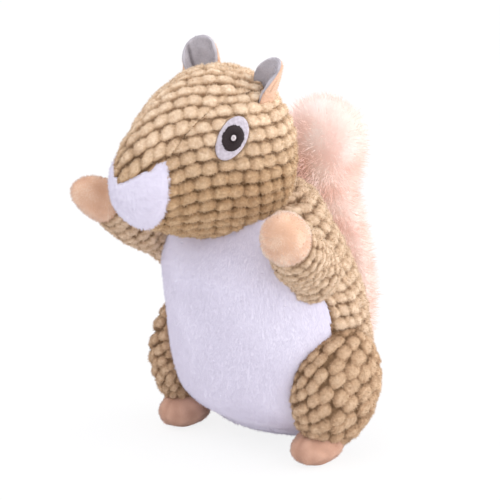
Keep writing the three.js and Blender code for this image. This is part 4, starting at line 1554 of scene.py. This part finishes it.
@dataclass
class Head:
    """The head: a tan forehead strip and two tan cheeks, with a white muzzle."""

    neck: tuple[float, float, float] = (0.0, -32.0, 158.0)
    turned: float = -10.0
    ahead: float = -21.0
    stations: tuple[tuple[float, ...], ...] = (
        (36, -3, 33, 35), (16, -2, 38, 41), (-4, -1, 39, 42.5), (-24, -2, 33, 38.5), (-42, -4, 22, 30),
        (-55, -7, 16.5, 22), (-66, -10, 13.5, 16),
    )
    skull_round: float = 30.0
    nose_round: float = 15.0
    muzzle_y: float = -49.0
    bridge_tip: tuple[float, float, float] = (-65.5, -5.0, 9.0)
    bridge_slope: float = 0.6
    bridge_over: float = 6.0  # how far before its tip the forehead strip may still reach
    gusset: tuple[tuple[float, float], ...] = ((-49.0, 16.5), (-24.0, 20.0), (4.0, 22.0), (36.0, 13.0))
    step: float = 0.8
    muzzle_step: float = 0.9
    seam_press: float = 0.25
    seam_wide: float = 1.3
    muzzle_tuck: float = 1.2
    muzzle_tuck_wide: float = 1.5
    muzzle_comb: tuple[float, float, float] = (0.0, 1.0, -0.35)
    eye_press: tuple[float, float] = (0.9, 1.12)
    # Painted light: round each eye patch, between the eye_rim spreads, the plush is coloured at least this
    # light, taking out its pits' painted shade.
    eye_rim: tuple[float, float] = (1.05, 1.3)
    eye_rim_rise: float = 0.6

    def place(self) -> Matrix:
        """Gives the head's own frame in the part's frame, in mm."""
        return Matrix.Translation(self.neck) @ Matrix.Rotation(math.radians(self.turned), 4, "Z")

    def form(self) -> Form:
        """Gives the stuffed form in the head's own frame."""
        rows = np.array(self.stations)
        spine = np.stack([np.zeros(len(rows)), rows[:, 0] + self.ahead, rows[:, 1]], axis=1)
        return Form(spine, rows[:, 2:], self.skull_round, self.nose_round, np.array([0.0, 0.0, 1.0]))

    def strip(self, points: Array) -> Array:
        """Tells how far points lie outside the forehead strip, less than 0 on it."""
        y = points[..., 1] - self.ahead
        stops = np.array(((self.bridge_tip[0], self.bridge_tip[2]), *self.gusset))
        wide = np.interp(y, stops[:, 0], stops[:, 1])
        inside = np.abs(points[..., 0]) - wide
        slope = np.where(y < self.gusset[0][0], self.bridge_slope, 0.0)
        below = self.bridge_tip[1] + slope * np.abs(points[..., 0]) - points[..., 2]
        before = self.bridge_tip[0] - self.bridge_over - y
        return np.maximum(np.maximum(inside, below), before)

    def muzzle(self, points: Array) -> Array:
        """Tells how far points lie before the muzzle's seam."""
        return self.ahead + self.muzzle_y - points[..., 1]

    def on_strip(self, points: Array) -> Array:
        """Picks the forehead strip."""
        return self.strip(points) <= 0

    def on_muzzle(self, points: Array) -> Array:
        """Picks the white muzzle."""
        return (self.strip(points) > 0) & (self.muzzle(points) > 0)

    def press(self, sheet: Sheet, eyes: Sequence["Eye"]) -> Array:
        """Tells where seams and the eyes' patches press the plush.

        Args:
            sheet: A sheet over the head.
            eyes: The eyes.

        Returns:
            From 1, free, to 0, pressed, at each point.
        """
        strip = np.abs(self.strip(sheet.points))
        muzzle = np.abs(self.muzzle(sheet.points))
        seam = np.where(strip < muzzle, strip, np.where(self.strip(sheet.points) < 0, strip, muzzle))
        press = 1 - self.seam_press * np.exp(-((seam / self.seam_wide) ** 2))
        for eye in eyes:
            press = press * eased(*self.eye_press, eye.spread(sheet.points))
        return press

    def build(self, maker: Maker, eyes: Sequence["Eye"]) -> None:
        """Builds the panels.

        Args:
            maker: Makes the pieces.
            eyes: The eyes, which press on the cheeks.
        """
        brow = Popcorn(across=8.0, rows=6.8, deep=2.9, turn=38, shift=0.5, loose=0.12, swap=True, lean=0.35,
                       seed=3.0)
        self.build_tan(maker, "head_gusset", math.pi / 2, brow, self.on_strip, eyes)
        for side in Side:
            def cheeks(points: Array, sign: int = side.value) -> Array:
                """Picks the cheek of one side."""
                behind = (self.strip(points) > 0) & (self.muzzle(points) <= 0)
                return behind & (points[..., 0] * sign >= 0)

            reference = 0.0 if side is Side.LEFT else math.pi
            cheek = Popcorn(across=7.9, rows=7.0, deep=3.5, shift=0.3, loose=0.08, swap=True,
                            lean=0.35 * side.value, seed=1.0)
            self.build_tan(maker, f"head_{side.label}_panel", reference, cheek, cheeks, eyes)
        self.build_muzzle(maker)

    def build_tan(self, maker: Maker, name: str, reference: float, popcorn: Popcorn, keep: Keep,
                  eyes: Sequence["Eye"]) -> None:
        """Builds one tan panel.

        Args:
            maker: Makes the pieces.
            name: The solid that the panel stands for.
            reference: Angle round the head from which its bumps count.
            popcorn: Its bumps.
            keep: Says which faces belong to it.
            eyes: The eyes, which press on it.
        """
        sheet = self.form().sheet(self.step, reference)
        outer, rise = leaned(sheet, popcorn, self.press(sheet, eyes), proud=0.5, sag=0.9)
        # Painted light: the plush round each patch is coloured lighter, lifting the painted shade of its
        # pressed pits.
        for eye in eyes:
            rim = 1 - eased(*self.eye_rim, eye.spread(sheet.points))
            rise = np.maximum(rise, self.eye_rim_rise * rim)
        fabric = Fabric.of(sheet, outer, rise, keep).moved(self.place())
        cover = maker.cover(f"{name}_plush", fabric, PLUSH_THICK, HEAD_PLUSH)
        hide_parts(name)
        fuzz = maker.strands(f"{name}_fuzz", SHORT_FUZZ.grown(fabric), HEAD_FUZZ)
        for piece in (cover, fuzz):
            self.carry(piece)

    def carry(self, piece: bpy.types.Object) -> None:
        """Lets a piece ride on the head."""
        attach(piece, "head")

    def build_muzzle(self, maker: Maker) -> None:
        """Builds the white muzzle."""
        sheet = self.form().sheet(self.muzzle_step, -math.pi / 2)
        outer, rise = smoothed(sheet, proud=0.1, wave=0.3, size=18, seed=2.0)
        seam = np.minimum(np.abs(self.strip(sheet.points)), np.abs(self.muzzle(sheet.points)))
        tuck = self.muzzle_tuck * np.exp(-((seam / self.muzzle_tuck_wide) ** 2))
        outer -= sheet.normals * tuck[..., None]
        fabric = Fabric.of(sheet, outer, rise, self.on_muzzle).moved(self.place())
        cover = maker.cover("muzzle_panel_plush", fabric, PLUSH_THICK, WHITE_CLOTH)
        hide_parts("muzzle_panel")
        tufts = MUZZLE_SHORT.grown(fabric, fabric.everywhere(self.muzzle_comb))
        pile = maker.strands("muzzle_panel_pile", tufts, WHITE_PILE)
        for piece in (cover, pile):
            self.carry(piece)


@dataclass
class Eye:
    """An eye: a felt patch, a stitched iris and a stitched glint."""

    side: Side
    head: Head
    middle: tuple[float, float, float] = (34.0, -20.0, 16.5)
    facing: tuple[float, float, float] = (34.0, -10.0, 8.0)
    tilt: float = 40.0
    patch: tuple[float, float] = (6.8, 11.8)
    iris: tuple[float, float] = (5.2, 6.7)
    glint: tuple[float, float] = (1.2, 1.5)
    grid: tuple[int, int] = (26, 180)
    cast_from: float = 25.0
    reach_back: float = -14.0
    elsewhere: float = 9.0  # the spread of points that lie behind the eye
    stitch_relief: float = 0.22
    cloth_relief: float = 0.12
    under: float = 0.3
    skin_step: float = 1.5

    def axes(self) -> tuple[Array, Array, Array, Array]:
        """Gives the eye's middle and its directions across, up and out, in the head's frame."""
        sign = np.array([self.side.value, 1, 1])
        middle = np.array(self.middle) * sign + np.array([0, self.head.ahead, 0])
        out = unit(np.array(self.facing) * sign)
        upright = np.array([0.0, math.sin(math.radians(self.tilt)), math.cos(math.radians(self.tilt))])
        across = unit(np.cross(upright, out))
        return middle, across, np.cross(out, across), out

    def spread(self, points: Array) -> Array:
        """Tells how far points lie from the eye's middle, where 1 is the patch's edge."""
        middle, across, up, out = self.axes()
        off = points - middle
        far = np.sqrt(((off @ across) / self.patch[0]) ** 2 + ((off @ up) / self.patch[1]) ** 2)
        return np.where(off @ out > self.reach_back, far, self.elsewhere)

    def disc(self, skin: BVHTree, size: tuple[float, float], low: float, thick: float, ragged: float,
             stitches: int) -> Fabric:
        """Lays a small oval of cloth or stitches on the head.

        Args:
            skin: The head's smooth skin.
            size: Half width and half height.
            low: How far its lower face lies over the skin.
            thick: Its thickness in the middle.
            ragged: How ragged its edge is, as a share of its size.
            stitches: Number of stitches round it, or 0 for plain cloth.

        Returns:
            The oval in the head's frame.
        """
        middle, across, up, out = self.axes()
        rings, columns = self.grid
        share = np.linspace(0, 1, rings + 1)[:, None]
        angle = np.linspace(0, FULL_TURN, columns + 1)[None, :]
        notch = np.floor(angle / FULL_TURN * columns / 2) % (columns // 2)
        edge = 1 + ragged * (scatter(notch, angle * 0, 3) - 0.5)
        flat_x = share * np.cos(angle) * size[0] * edge
        flat_y = share * np.sin(angle) * size[1] * edge
        starts = middle + flat_x[..., None] * across + flat_y[..., None] * up + out * self.cast_from
        spots = np.empty_like(starts)
        normals = np.empty_like(starts)
        for row in range(rings + 1):
            for column in range(columns + 1):
                spot, normal, _, _ = skin.ray_cast(Vector(starts[row, column]), Vector(-out))
                spots[row, column], normals[row, column] = spot, normal
        dome = np.sqrt(np.clip(1 - share**6, 0, 1)) * np.ones_like(angle)
        wave = np.cos(angle * stitches + 5 * share) if stitches else soft_noise(spots, 2.2, 6)
        ridge = 0.5 + 0.5 * wave
        relief = self.stitch_relief if stitches else self.cloth_relief
        height = low + thick * dome + relief * (ridge - 0.5) * dome
        outer = spots + normals * height[..., None]
        base = spots + normals * low
        sheet = Sheet(base, normals, share * np.ones_like(angle), np.ones_like(share) * angle, poles=False)
        return Fabric.of(sheet, outer, ridge)

    def build(self, maker: Maker) -> None:
        """Builds the patch, the iris and the glint."""
        skin = smooth_skin(self.head.form(), self.skin_step)
        kinds = (
            ("eye_patch", self.patch, 0.0, 1.0, 0.02, 0, FELT),
            ("eye_iris", self.iris, 0.9, 0.9, 0.09, 44, DARK_THREAD),
            ("eye_glint", self.glint, 1.7, 0.75, 0.12, 14, WHITE_THREAD),
        )
        for kind, size, low, thick, ragged, stitches, finish in kinds:
            fabric = self.disc(skin, size, low, thick, ragged, stitches).moved(self.head.place())
            name = f"{self.side.label}_{kind}"
            piece = maker.cover(f"{name}_cloth", fabric, self.under, finish)
            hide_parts(name)
            self.head.carry(piece)


@dataclass
class Ear:
    """A cupped ear: a grey layer in front and a peach layer behind."""

    side: Side
    head: Head
    foot: tuple[float, float, float] = (21.0, 4.0, 36.0)
    wide: float = 20.0
    high: float = 14.5
    foot_wide: float = 15.0
    shoulder: float = 7.5
    foot_low: float = -10.0
    bulge: float = 1.0
    front_radius: float = 8.0
    back_radius: float = 10.6
    edge_radius: float = 9.0
    half_turn: float = 82.0
    back_lower: float = 1.0
    pinch: float = 0.22
    pinch_height: float = 6.0
    opens: float = 37.0
    left_opens: float = 24.0
    lean: float = 20.0
    sunk: float = 7.0
    fold_at: float = 6.0
    fold_wide: float = 1.1
    fold_deep: float = 0.7
    fold_height: tuple[float, float] = (18.0, 4.0)
    edge_wide: float = 1.6
    edge_round: float = 0.8
    edge_over: float = 0.2
    thick: float = 1.5
    fold_shade: float = 0.9
    bend_root: tuple[float, float, float] = (0.0, 8.0, -2.0)
    bend_end: tuple[float, float, float] = (0.0, 8.0, 4.0)

    def place(self) -> Matrix:
        """Gives the ear's own frame in the part's frame, in mm."""
        sign = self.side.value
        at = Matrix.Translation((self.foot[0] * sign, self.foot[1] + self.head.ahead, self.foot[2]))
        lean = Matrix.Rotation(math.radians(self.lean * sign), 4, "Y")
        turn = self.left_opens if self.side is Side.LEFT else self.opens
        opens = Matrix.Rotation(math.radians(-turn * sign), 4, "Z")
        return self.head.place() @ at @ lean @ opens

    def top(self, across: Array) -> Array:
        """Gives the height of the ear's edge at places across it."""
        share = np.linspace(0, 1, 200)
        weights = cubic_weights(share)
        reach = weights @ np.array([self.foot_wide / 2, self.wide / 2 + self.bulge, self.shoulder, 0.0])
        height = weights @ np.array([self.foot_low, self.shoulder, self.high, self.high])
        widest = int(np.argmax(reach))
        return np.interp(np.abs(across), reach[widest:][::-1], height[widest:][::-1])

    def layer(self, radius: float, inwards: bool) -> Sheet:
        """Lays a sheet over one layer.

        Args:
            radius: Radius of the cupped layer's showing face.
            inwards: Whether that face looks into the cup.

        Returns:
            The sheet.
        """
        half = math.radians(self.half_turn)
        angle = np.linspace(-half, half, 90)[None, :]
        share = np.linspace(0, 1, 70)[:, None]
        edge = self.top(self.edge_radius * np.sin(angle)) - (0.0 if inwards else self.back_lower)
        height = -self.sunk + share * (edge + self.sunk)
        pinch = 1 - self.pinch * (1 - eased(-self.pinch_height, self.pinch_height, height))
        flat = np.zeros_like(height)
        points = np.stack([radius * pinch * np.sin(angle), radius * np.cos(angle) + flat, height], -1)
        normals = np.stack([np.sin(angle) + flat, np.cos(angle) + flat, flat], -1)
        return Sheet(points, -normals if inwards else normals, height, radius * angle + flat, False, False)

    def fold(self, sheet: Sheet) -> Array:
        """Tells where the front layer's fold runs, from 0 beside it to 1 in it."""
        off = (sheet.around - self.fold_at * self.side.value) / self.fold_wide
        return np.exp(-(off**2)) * eased(*self.fold_height, sheet.along)

    def build(self, maker: Maker) -> None:
        """Builds both layers."""
        place = self.place()
        kinds = (
            ("front", self.front_radius, True, GREY, GREY_NAP),
            ("back", self.back_radius, False, PEACH, PEACH_NAP),
        )
        root = place @ Vector(self.bend_root)
        bend = place @ Vector(self.bend_end)
        for kind, radius, inwards, finish, nap_finish in kinds:
            sheet = self.layer(radius, inwards)
            outer, rise = smoothed(sheet, proud=0.0, wave=0.25, size=8, seed=8.0)
            rise = 0.7 + 0.2 * rise
            if inwards:
                fold = self.fold(sheet)
                outer -= sheet.normals * (self.fold_deep * fold)[..., None]
                rise = rise * (1 - self.fold_shade * fold)
            below = self.top(sheet.points[..., 0]) - sheet.along + self.edge_over
            edge = eased(0, self.edge_wide, np.minimum(below, self.edge_wide))
            outer -= sheet.normals * (self.edge_round * (1 - edge))[..., None]
            fabric = Fabric.of(sheet, outer, rise).moved(place)
            name = f"{self.side.label}_ear_{kind}"
            cover = maker.cover(f"{name}_velour", fabric, self.thick, finish)
            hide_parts(name)
            upwards = fabric.everywhere((0.0, 0.0, 1.0))
            nap = maker.strands(f"{name}_nap", VELOUR_NAP.grown(fabric, upwards), nap_finish)
            for piece in (cover, nap):
                root * MM
                bend * MM
                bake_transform(piece)


@dataclass
class Tail:
    """The long-pile tail, which stands close behind the back."""

    stations: tuple[tuple[float, ...], ...] = (
        (52, 16, 12, 11), (61, 34, 17, 10), (65.5, 56, 19, 10), (61, 88, 18.5, 11), (51, 118, 17.5, 13.5),
        (48, 142, 23, 19), (55, 166, 19, 17),
    )
    root: tuple[float, float] = (50.0, 21.0)
    root_round: float = 10.0
    tip_round: float = 17.0
    sunk: float = 4.0
    step: float = 1.6
    thick: float = 2.0
    bend_reach: tuple[float, float, float] = (0.0, 4.0, 14.0)
    root_pile: tuple[float, float] = (6.0, 30.0)
    root_pile_short: float = 0.7
    lowest_tip: float = 1.0

    def form(self) -> Form:
        """Gives the stuffed form in the part's frame."""
        rows = np.array(self.stations)
        spine = np.stack([np.zeros(len(rows)), rows[:, 0] - SEAT_Y, rows[:, 1]], axis=1)
        return Form(spine, rows[:, 2:], self.root_round, self.tip_round, None)

    def build(self, maker: Maker) -> None:
        """Builds the backing and its pile."""
        sheet = self.form().sheet(self.step, math.pi / 2, -self.sunk)
        outer, rise = smoothed(sheet, proud=0.0, wave=0.8, size=20, seed=5.0)
        fabric = Fabric.of(sheet, outer, rise)
        cover = maker.cover("tail_cover_backing", fabric, self.thick, PINK_CLOTH)
        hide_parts("tail_cover")
        short = self.root_pile_short
        lengths = short + (1 - short) * eased(*self.root_pile, fabric.outer[:, 2])
        tufts = TAIL_LONG.grown(fabric, fabric.everywhere((0.0, 0.0, 1.0)), lengths)
        tufts.ways[:, 2] = np.maximum(tufts.ways[:, 2], self.lowest_tip - tufts.roots[:, 2])
        pile = maker.strands("tail_cover_pile", tufts, PINK_PILE)
        for piece in (cover, pile):
            self.bend(piece)

    def bend(self, piece: bpy.types.Object) -> None:
        """Bakes a piece's placing into its points."""
        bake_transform(piece)


@dataclass
class Filling:
    """The fibre inside the covers, loose and lumpy."""

    carriers: dict[str, Carry]
    grain: float = 2.6
    inset: float = 1.32
    lump: float = 0.6
    lump_size: float = 11.0

    def build(self, maker: Maker) -> None:
        """Builds each filling inside the solid that stands for it."""
        for number, (node, carry) in enumerate(self.carriers.items()):
            source = bpy.data.objects[node]
            piece = bpy.data.objects.new(f"{node}_fibre", source.data.copy())
            bpy.context.scene.collection.objects.link(piece)
            piece.matrix_world = source.matrix_world
            remesh = piece.modifiers.new("even", "REMESH")
            remesh.mode = "VOXEL"
            remesh.voxel_size = self.grain * MM
            depsgraph = bpy.context.evaluated_depsgraph_get()
            mesh = bpy.data.meshes.new_from_object(piece.evaluated_get(depsgraph))
            piece.modifiers.clear()
            piece.data = mesh
            self.fluff(mesh, float(number))
            mesh.materials.clear()
            mesh.materials.append(FIBRE.material())
            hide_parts(node)
            carry(piece)
            maker.made.append(piece)
            LOG.info("%s: %d faces", piece.name, len(mesh.polygons))

    def fluff(self, mesh: bpy.types.Mesh, seed: float) -> None:
        """Draws a mesh in and makes it lumpy.

        Args:
            mesh: The filling's mesh.
            seed: Changes the lumps.
        """
        count = len(mesh.vertices)
        points = np.empty(count * 3, np.float32)
        mesh.vertices.foreach_get("co", points)
        normals = np.empty(count * 3, np.float32)
        mesh.vertex_normals.foreach_get("vector", normals)
        points, normals = points.reshape(-1, 3), normals.reshape(-1, 3)
        lumps = soft_noise(points / MM, self.lump_size, seed) * self.lump - 1
        moved = points + normals * (lumps * self.inset)[:, None] * MM
        mesh.vertices.foreach_set("co", moved.astype(np.float32).ravel())
        rise = mesh.attributes.new("rise", "FLOAT", "POINT")
        rise.data.foreach_set("value", (1 + lumps).astype(np.float32))
        mesh.shade_smooth()
        mesh.update()


@dataclass
class Squeaker:
    """The squeaker, whose solids keep their shape and get their plastics."""

    soft: tuple[str, ...] = ("squeaker_bulb", "squeaker_face", "squeaker_base")
    hard: tuple[str, ...] = ("reed_tube", "reed")

    def dress(self) -> None:
        """Gives each solid its plastic."""
        for names, finish in ((self.soft, SOFT_PLASTIC), (self.hard, HARD_PLASTIC)):
            for name in names:
                mesh = bpy.data.objects[name].data
                mesh.materials.clear()
                mesh.materials.append(finish.material())
                LOG.info("%s: %s", name, finish.name)


@dataclass(frozen=True)
class Lamp:
    """A soft square lamp, with its place in metres as the picture sees it from what it lights.

    Attributes:
        name: Its name.
        place: How far right, up and near it stands.
        size: Its width.
        power: Its power in watts.
    """

    name: str
    place: tuple[float, float, float]
    size: float
    power: float


@dataclass
class Studio:
    """The pale floor, the soft light and the camera."""

    azimuth: float = 40.0
    elevation: float = 18.5
    far: float = 3.0
    lens: float = 432.0
    aim_right: float = -5.5
    aim_up: float = 94.0
    lamps: tuple[Lamp, ...] = (
        Lamp("key", (-0.5, 1.15, 0.6), 1.4, 7.6),
        Lamp("front", (1.05, 0.4, 0.9), 1.2, 6.8),
        Lamp("right", (1.2, 0.55, -0.1), 1.0, 9.0),
    )
    world_strength: float = 0.95
    floor_reach: float = 6.0
    floor_glow: float = 0.85

    def view(self) -> tuple[Vector, Vector, Vector]:
        """Gives the picture's right, up and towards-the-camera directions."""
        turn, lift = math.radians(self.azimuth), math.radians(self.elevation)
        right = Vector((math.cos(turn), math.sin(turn), 0))
        up = Vector((-math.sin(turn) * math.sin(lift), math.cos(turn) * math.sin(lift), math.cos(lift)))
        return right, up, right.cross(up)

    def build(self) -> None:
        """Builds the floor, the world, the lamps and the camera."""
        scene = bpy.context.scene
        scene.view_settings.view_transform = "Standard"
        right, up, near = self.view()
        aim = Vector((0, -SEAT_Y, 0)) * MM + right * self.aim_right * MM + up * self.aim_up * MM
        camera = bpy.data.objects.new("camera", bpy.data.cameras.new("camera"))
        camera.data.lens = self.lens
        camera.data.sensor_width = 36.0
        camera.data.clip_end = 20.0
        turn = Matrix((right, up, near)).transposed().to_4x4()
        camera.matrix_world = Matrix.Translation(aim + near * self.far) @ turn
        scene.collection.objects.link(camera)
        scene.camera = camera
        for lamp in self.lamps:
            self.hang(lamp, aim)
        self.world()
        self.floor()

    def hang(self, lamp: Lamp, aim: Vector) -> None:
        """Adds a lamp.

        Args:
            lamp: The lamp.
            aim: Where it shines.
        """
        light = bpy.data.lights.new(lamp.name, "AREA")
        light.size = lamp.size
        light.energy = lamp.power
        right, up, near = self.view()
        off = right * lamp.place[0] + up * lamp.place[1] + near * lamp.place[2]
        hung = bpy.data.objects.new(lamp.name, light)
        hung.matrix_world = Matrix.Translation(aim + off) @ off.to_track_quat("Z", "Y").to_matrix().to_4x4()
        bpy.context.scene.collection.objects.link(hung)

    def world(self) -> None:
        """Makes the world white to look at, and a plain soft light."""
        world = bpy.data.worlds.new("studio")
        bpy.context.scene.world = world
        bench = Bench(world)
        seen = bench.seen()
        light = {"Color": srgb(248, 248, 255), "Strength": self.world_strength}
        soft = bench.value("ShaderNodeBackground", {}, light)
        white = bench.value("ShaderNodeBackground", {}, {"Color": (1, 1, 1, 1), "Strength": 1.0})
        mixed = bench.value("ShaderNodeMixShader", {}, {0: seen, 1: soft, 2: white})
        bench.node("ShaderNodeOutputWorld", {}, {"Surface": mixed})

    def floor(self) -> None:
        """Makes the floor, white with a soft shadow."""
        mesh = bpy.data.meshes.new("floor")
        reach = self.floor_reach
        corners = [(-reach, -reach, 0), (reach, -reach, 0), (reach, reach, 0), (-reach, reach, 0)]
        mesh.from_pydata(corners, [], [(0, 1, 2, 3)])
        floor = bpy.data.objects.new("floor", mesh)
        bpy.context.scene.collection.objects.link(floor)
        bench = Bench(bpy.data.materials.new("pale_floor"))
        seen = bench.seen()
        matt = bench.value("ShaderNodeBsdfDiffuse", {}, {"Color": (0.9, 0.9, 0.9, 1)})
        glow = bench.value("ShaderNodeEmission", {}, {"Color": (1, 1, 1, 1), "Strength": 1.0})
        mixed = bench.value("ShaderNodeMixShader", {}, {0: seen * self.floor_glow, 1: matt, 2: glow})
        bench.node("ShaderNodeOutputMaterial", {}, {"Surface": mixed})
        mesh.materials.append(bench.owner)


def main() -> None:
    """Builds every sub-assembly in order."""
    logging.basicConfig(level=logging.INFO, format="%(message)s")
    maker = Maker()
    Studio().build()
    torso = Torso()
    skin = smooth_skin(torso.form(), torso.skin_step)
    torso.build(maker)
    arms = {side: Arm(side) for side in Side}
    for side in Side:
        Haunch(side, skin).build(maker)
        arms[side].build(maker)
    head = Head()
    eyes = [Eye(side, head) for side in Side]
    head.build(maker, eyes)
    for eye in eyes:
        eye.build(maker)
    for side in Side:
        Ear(side, head).build(maker)
    tail = Tail()
    tail.build(maker)
    Filling({
        "torso_filling_front": torso.give_inside,
        "torso_filling_back": torso.carry,
        "head_filling": head.carry,
        "left_haunch_filling": torso.carry,
        "right_haunch_filling": torso.carry,
        "left_arm_filling": arms[Side.LEFT].bend,
        "right_arm_filling": arms[Side.RIGHT].bend,
        "tail_filling": tail.bend,
    }).build(maker)
    Squeaker().dress()
    LOG.info("%d pieces", len(maker.made))


if __name__ == "__main__":
    main()
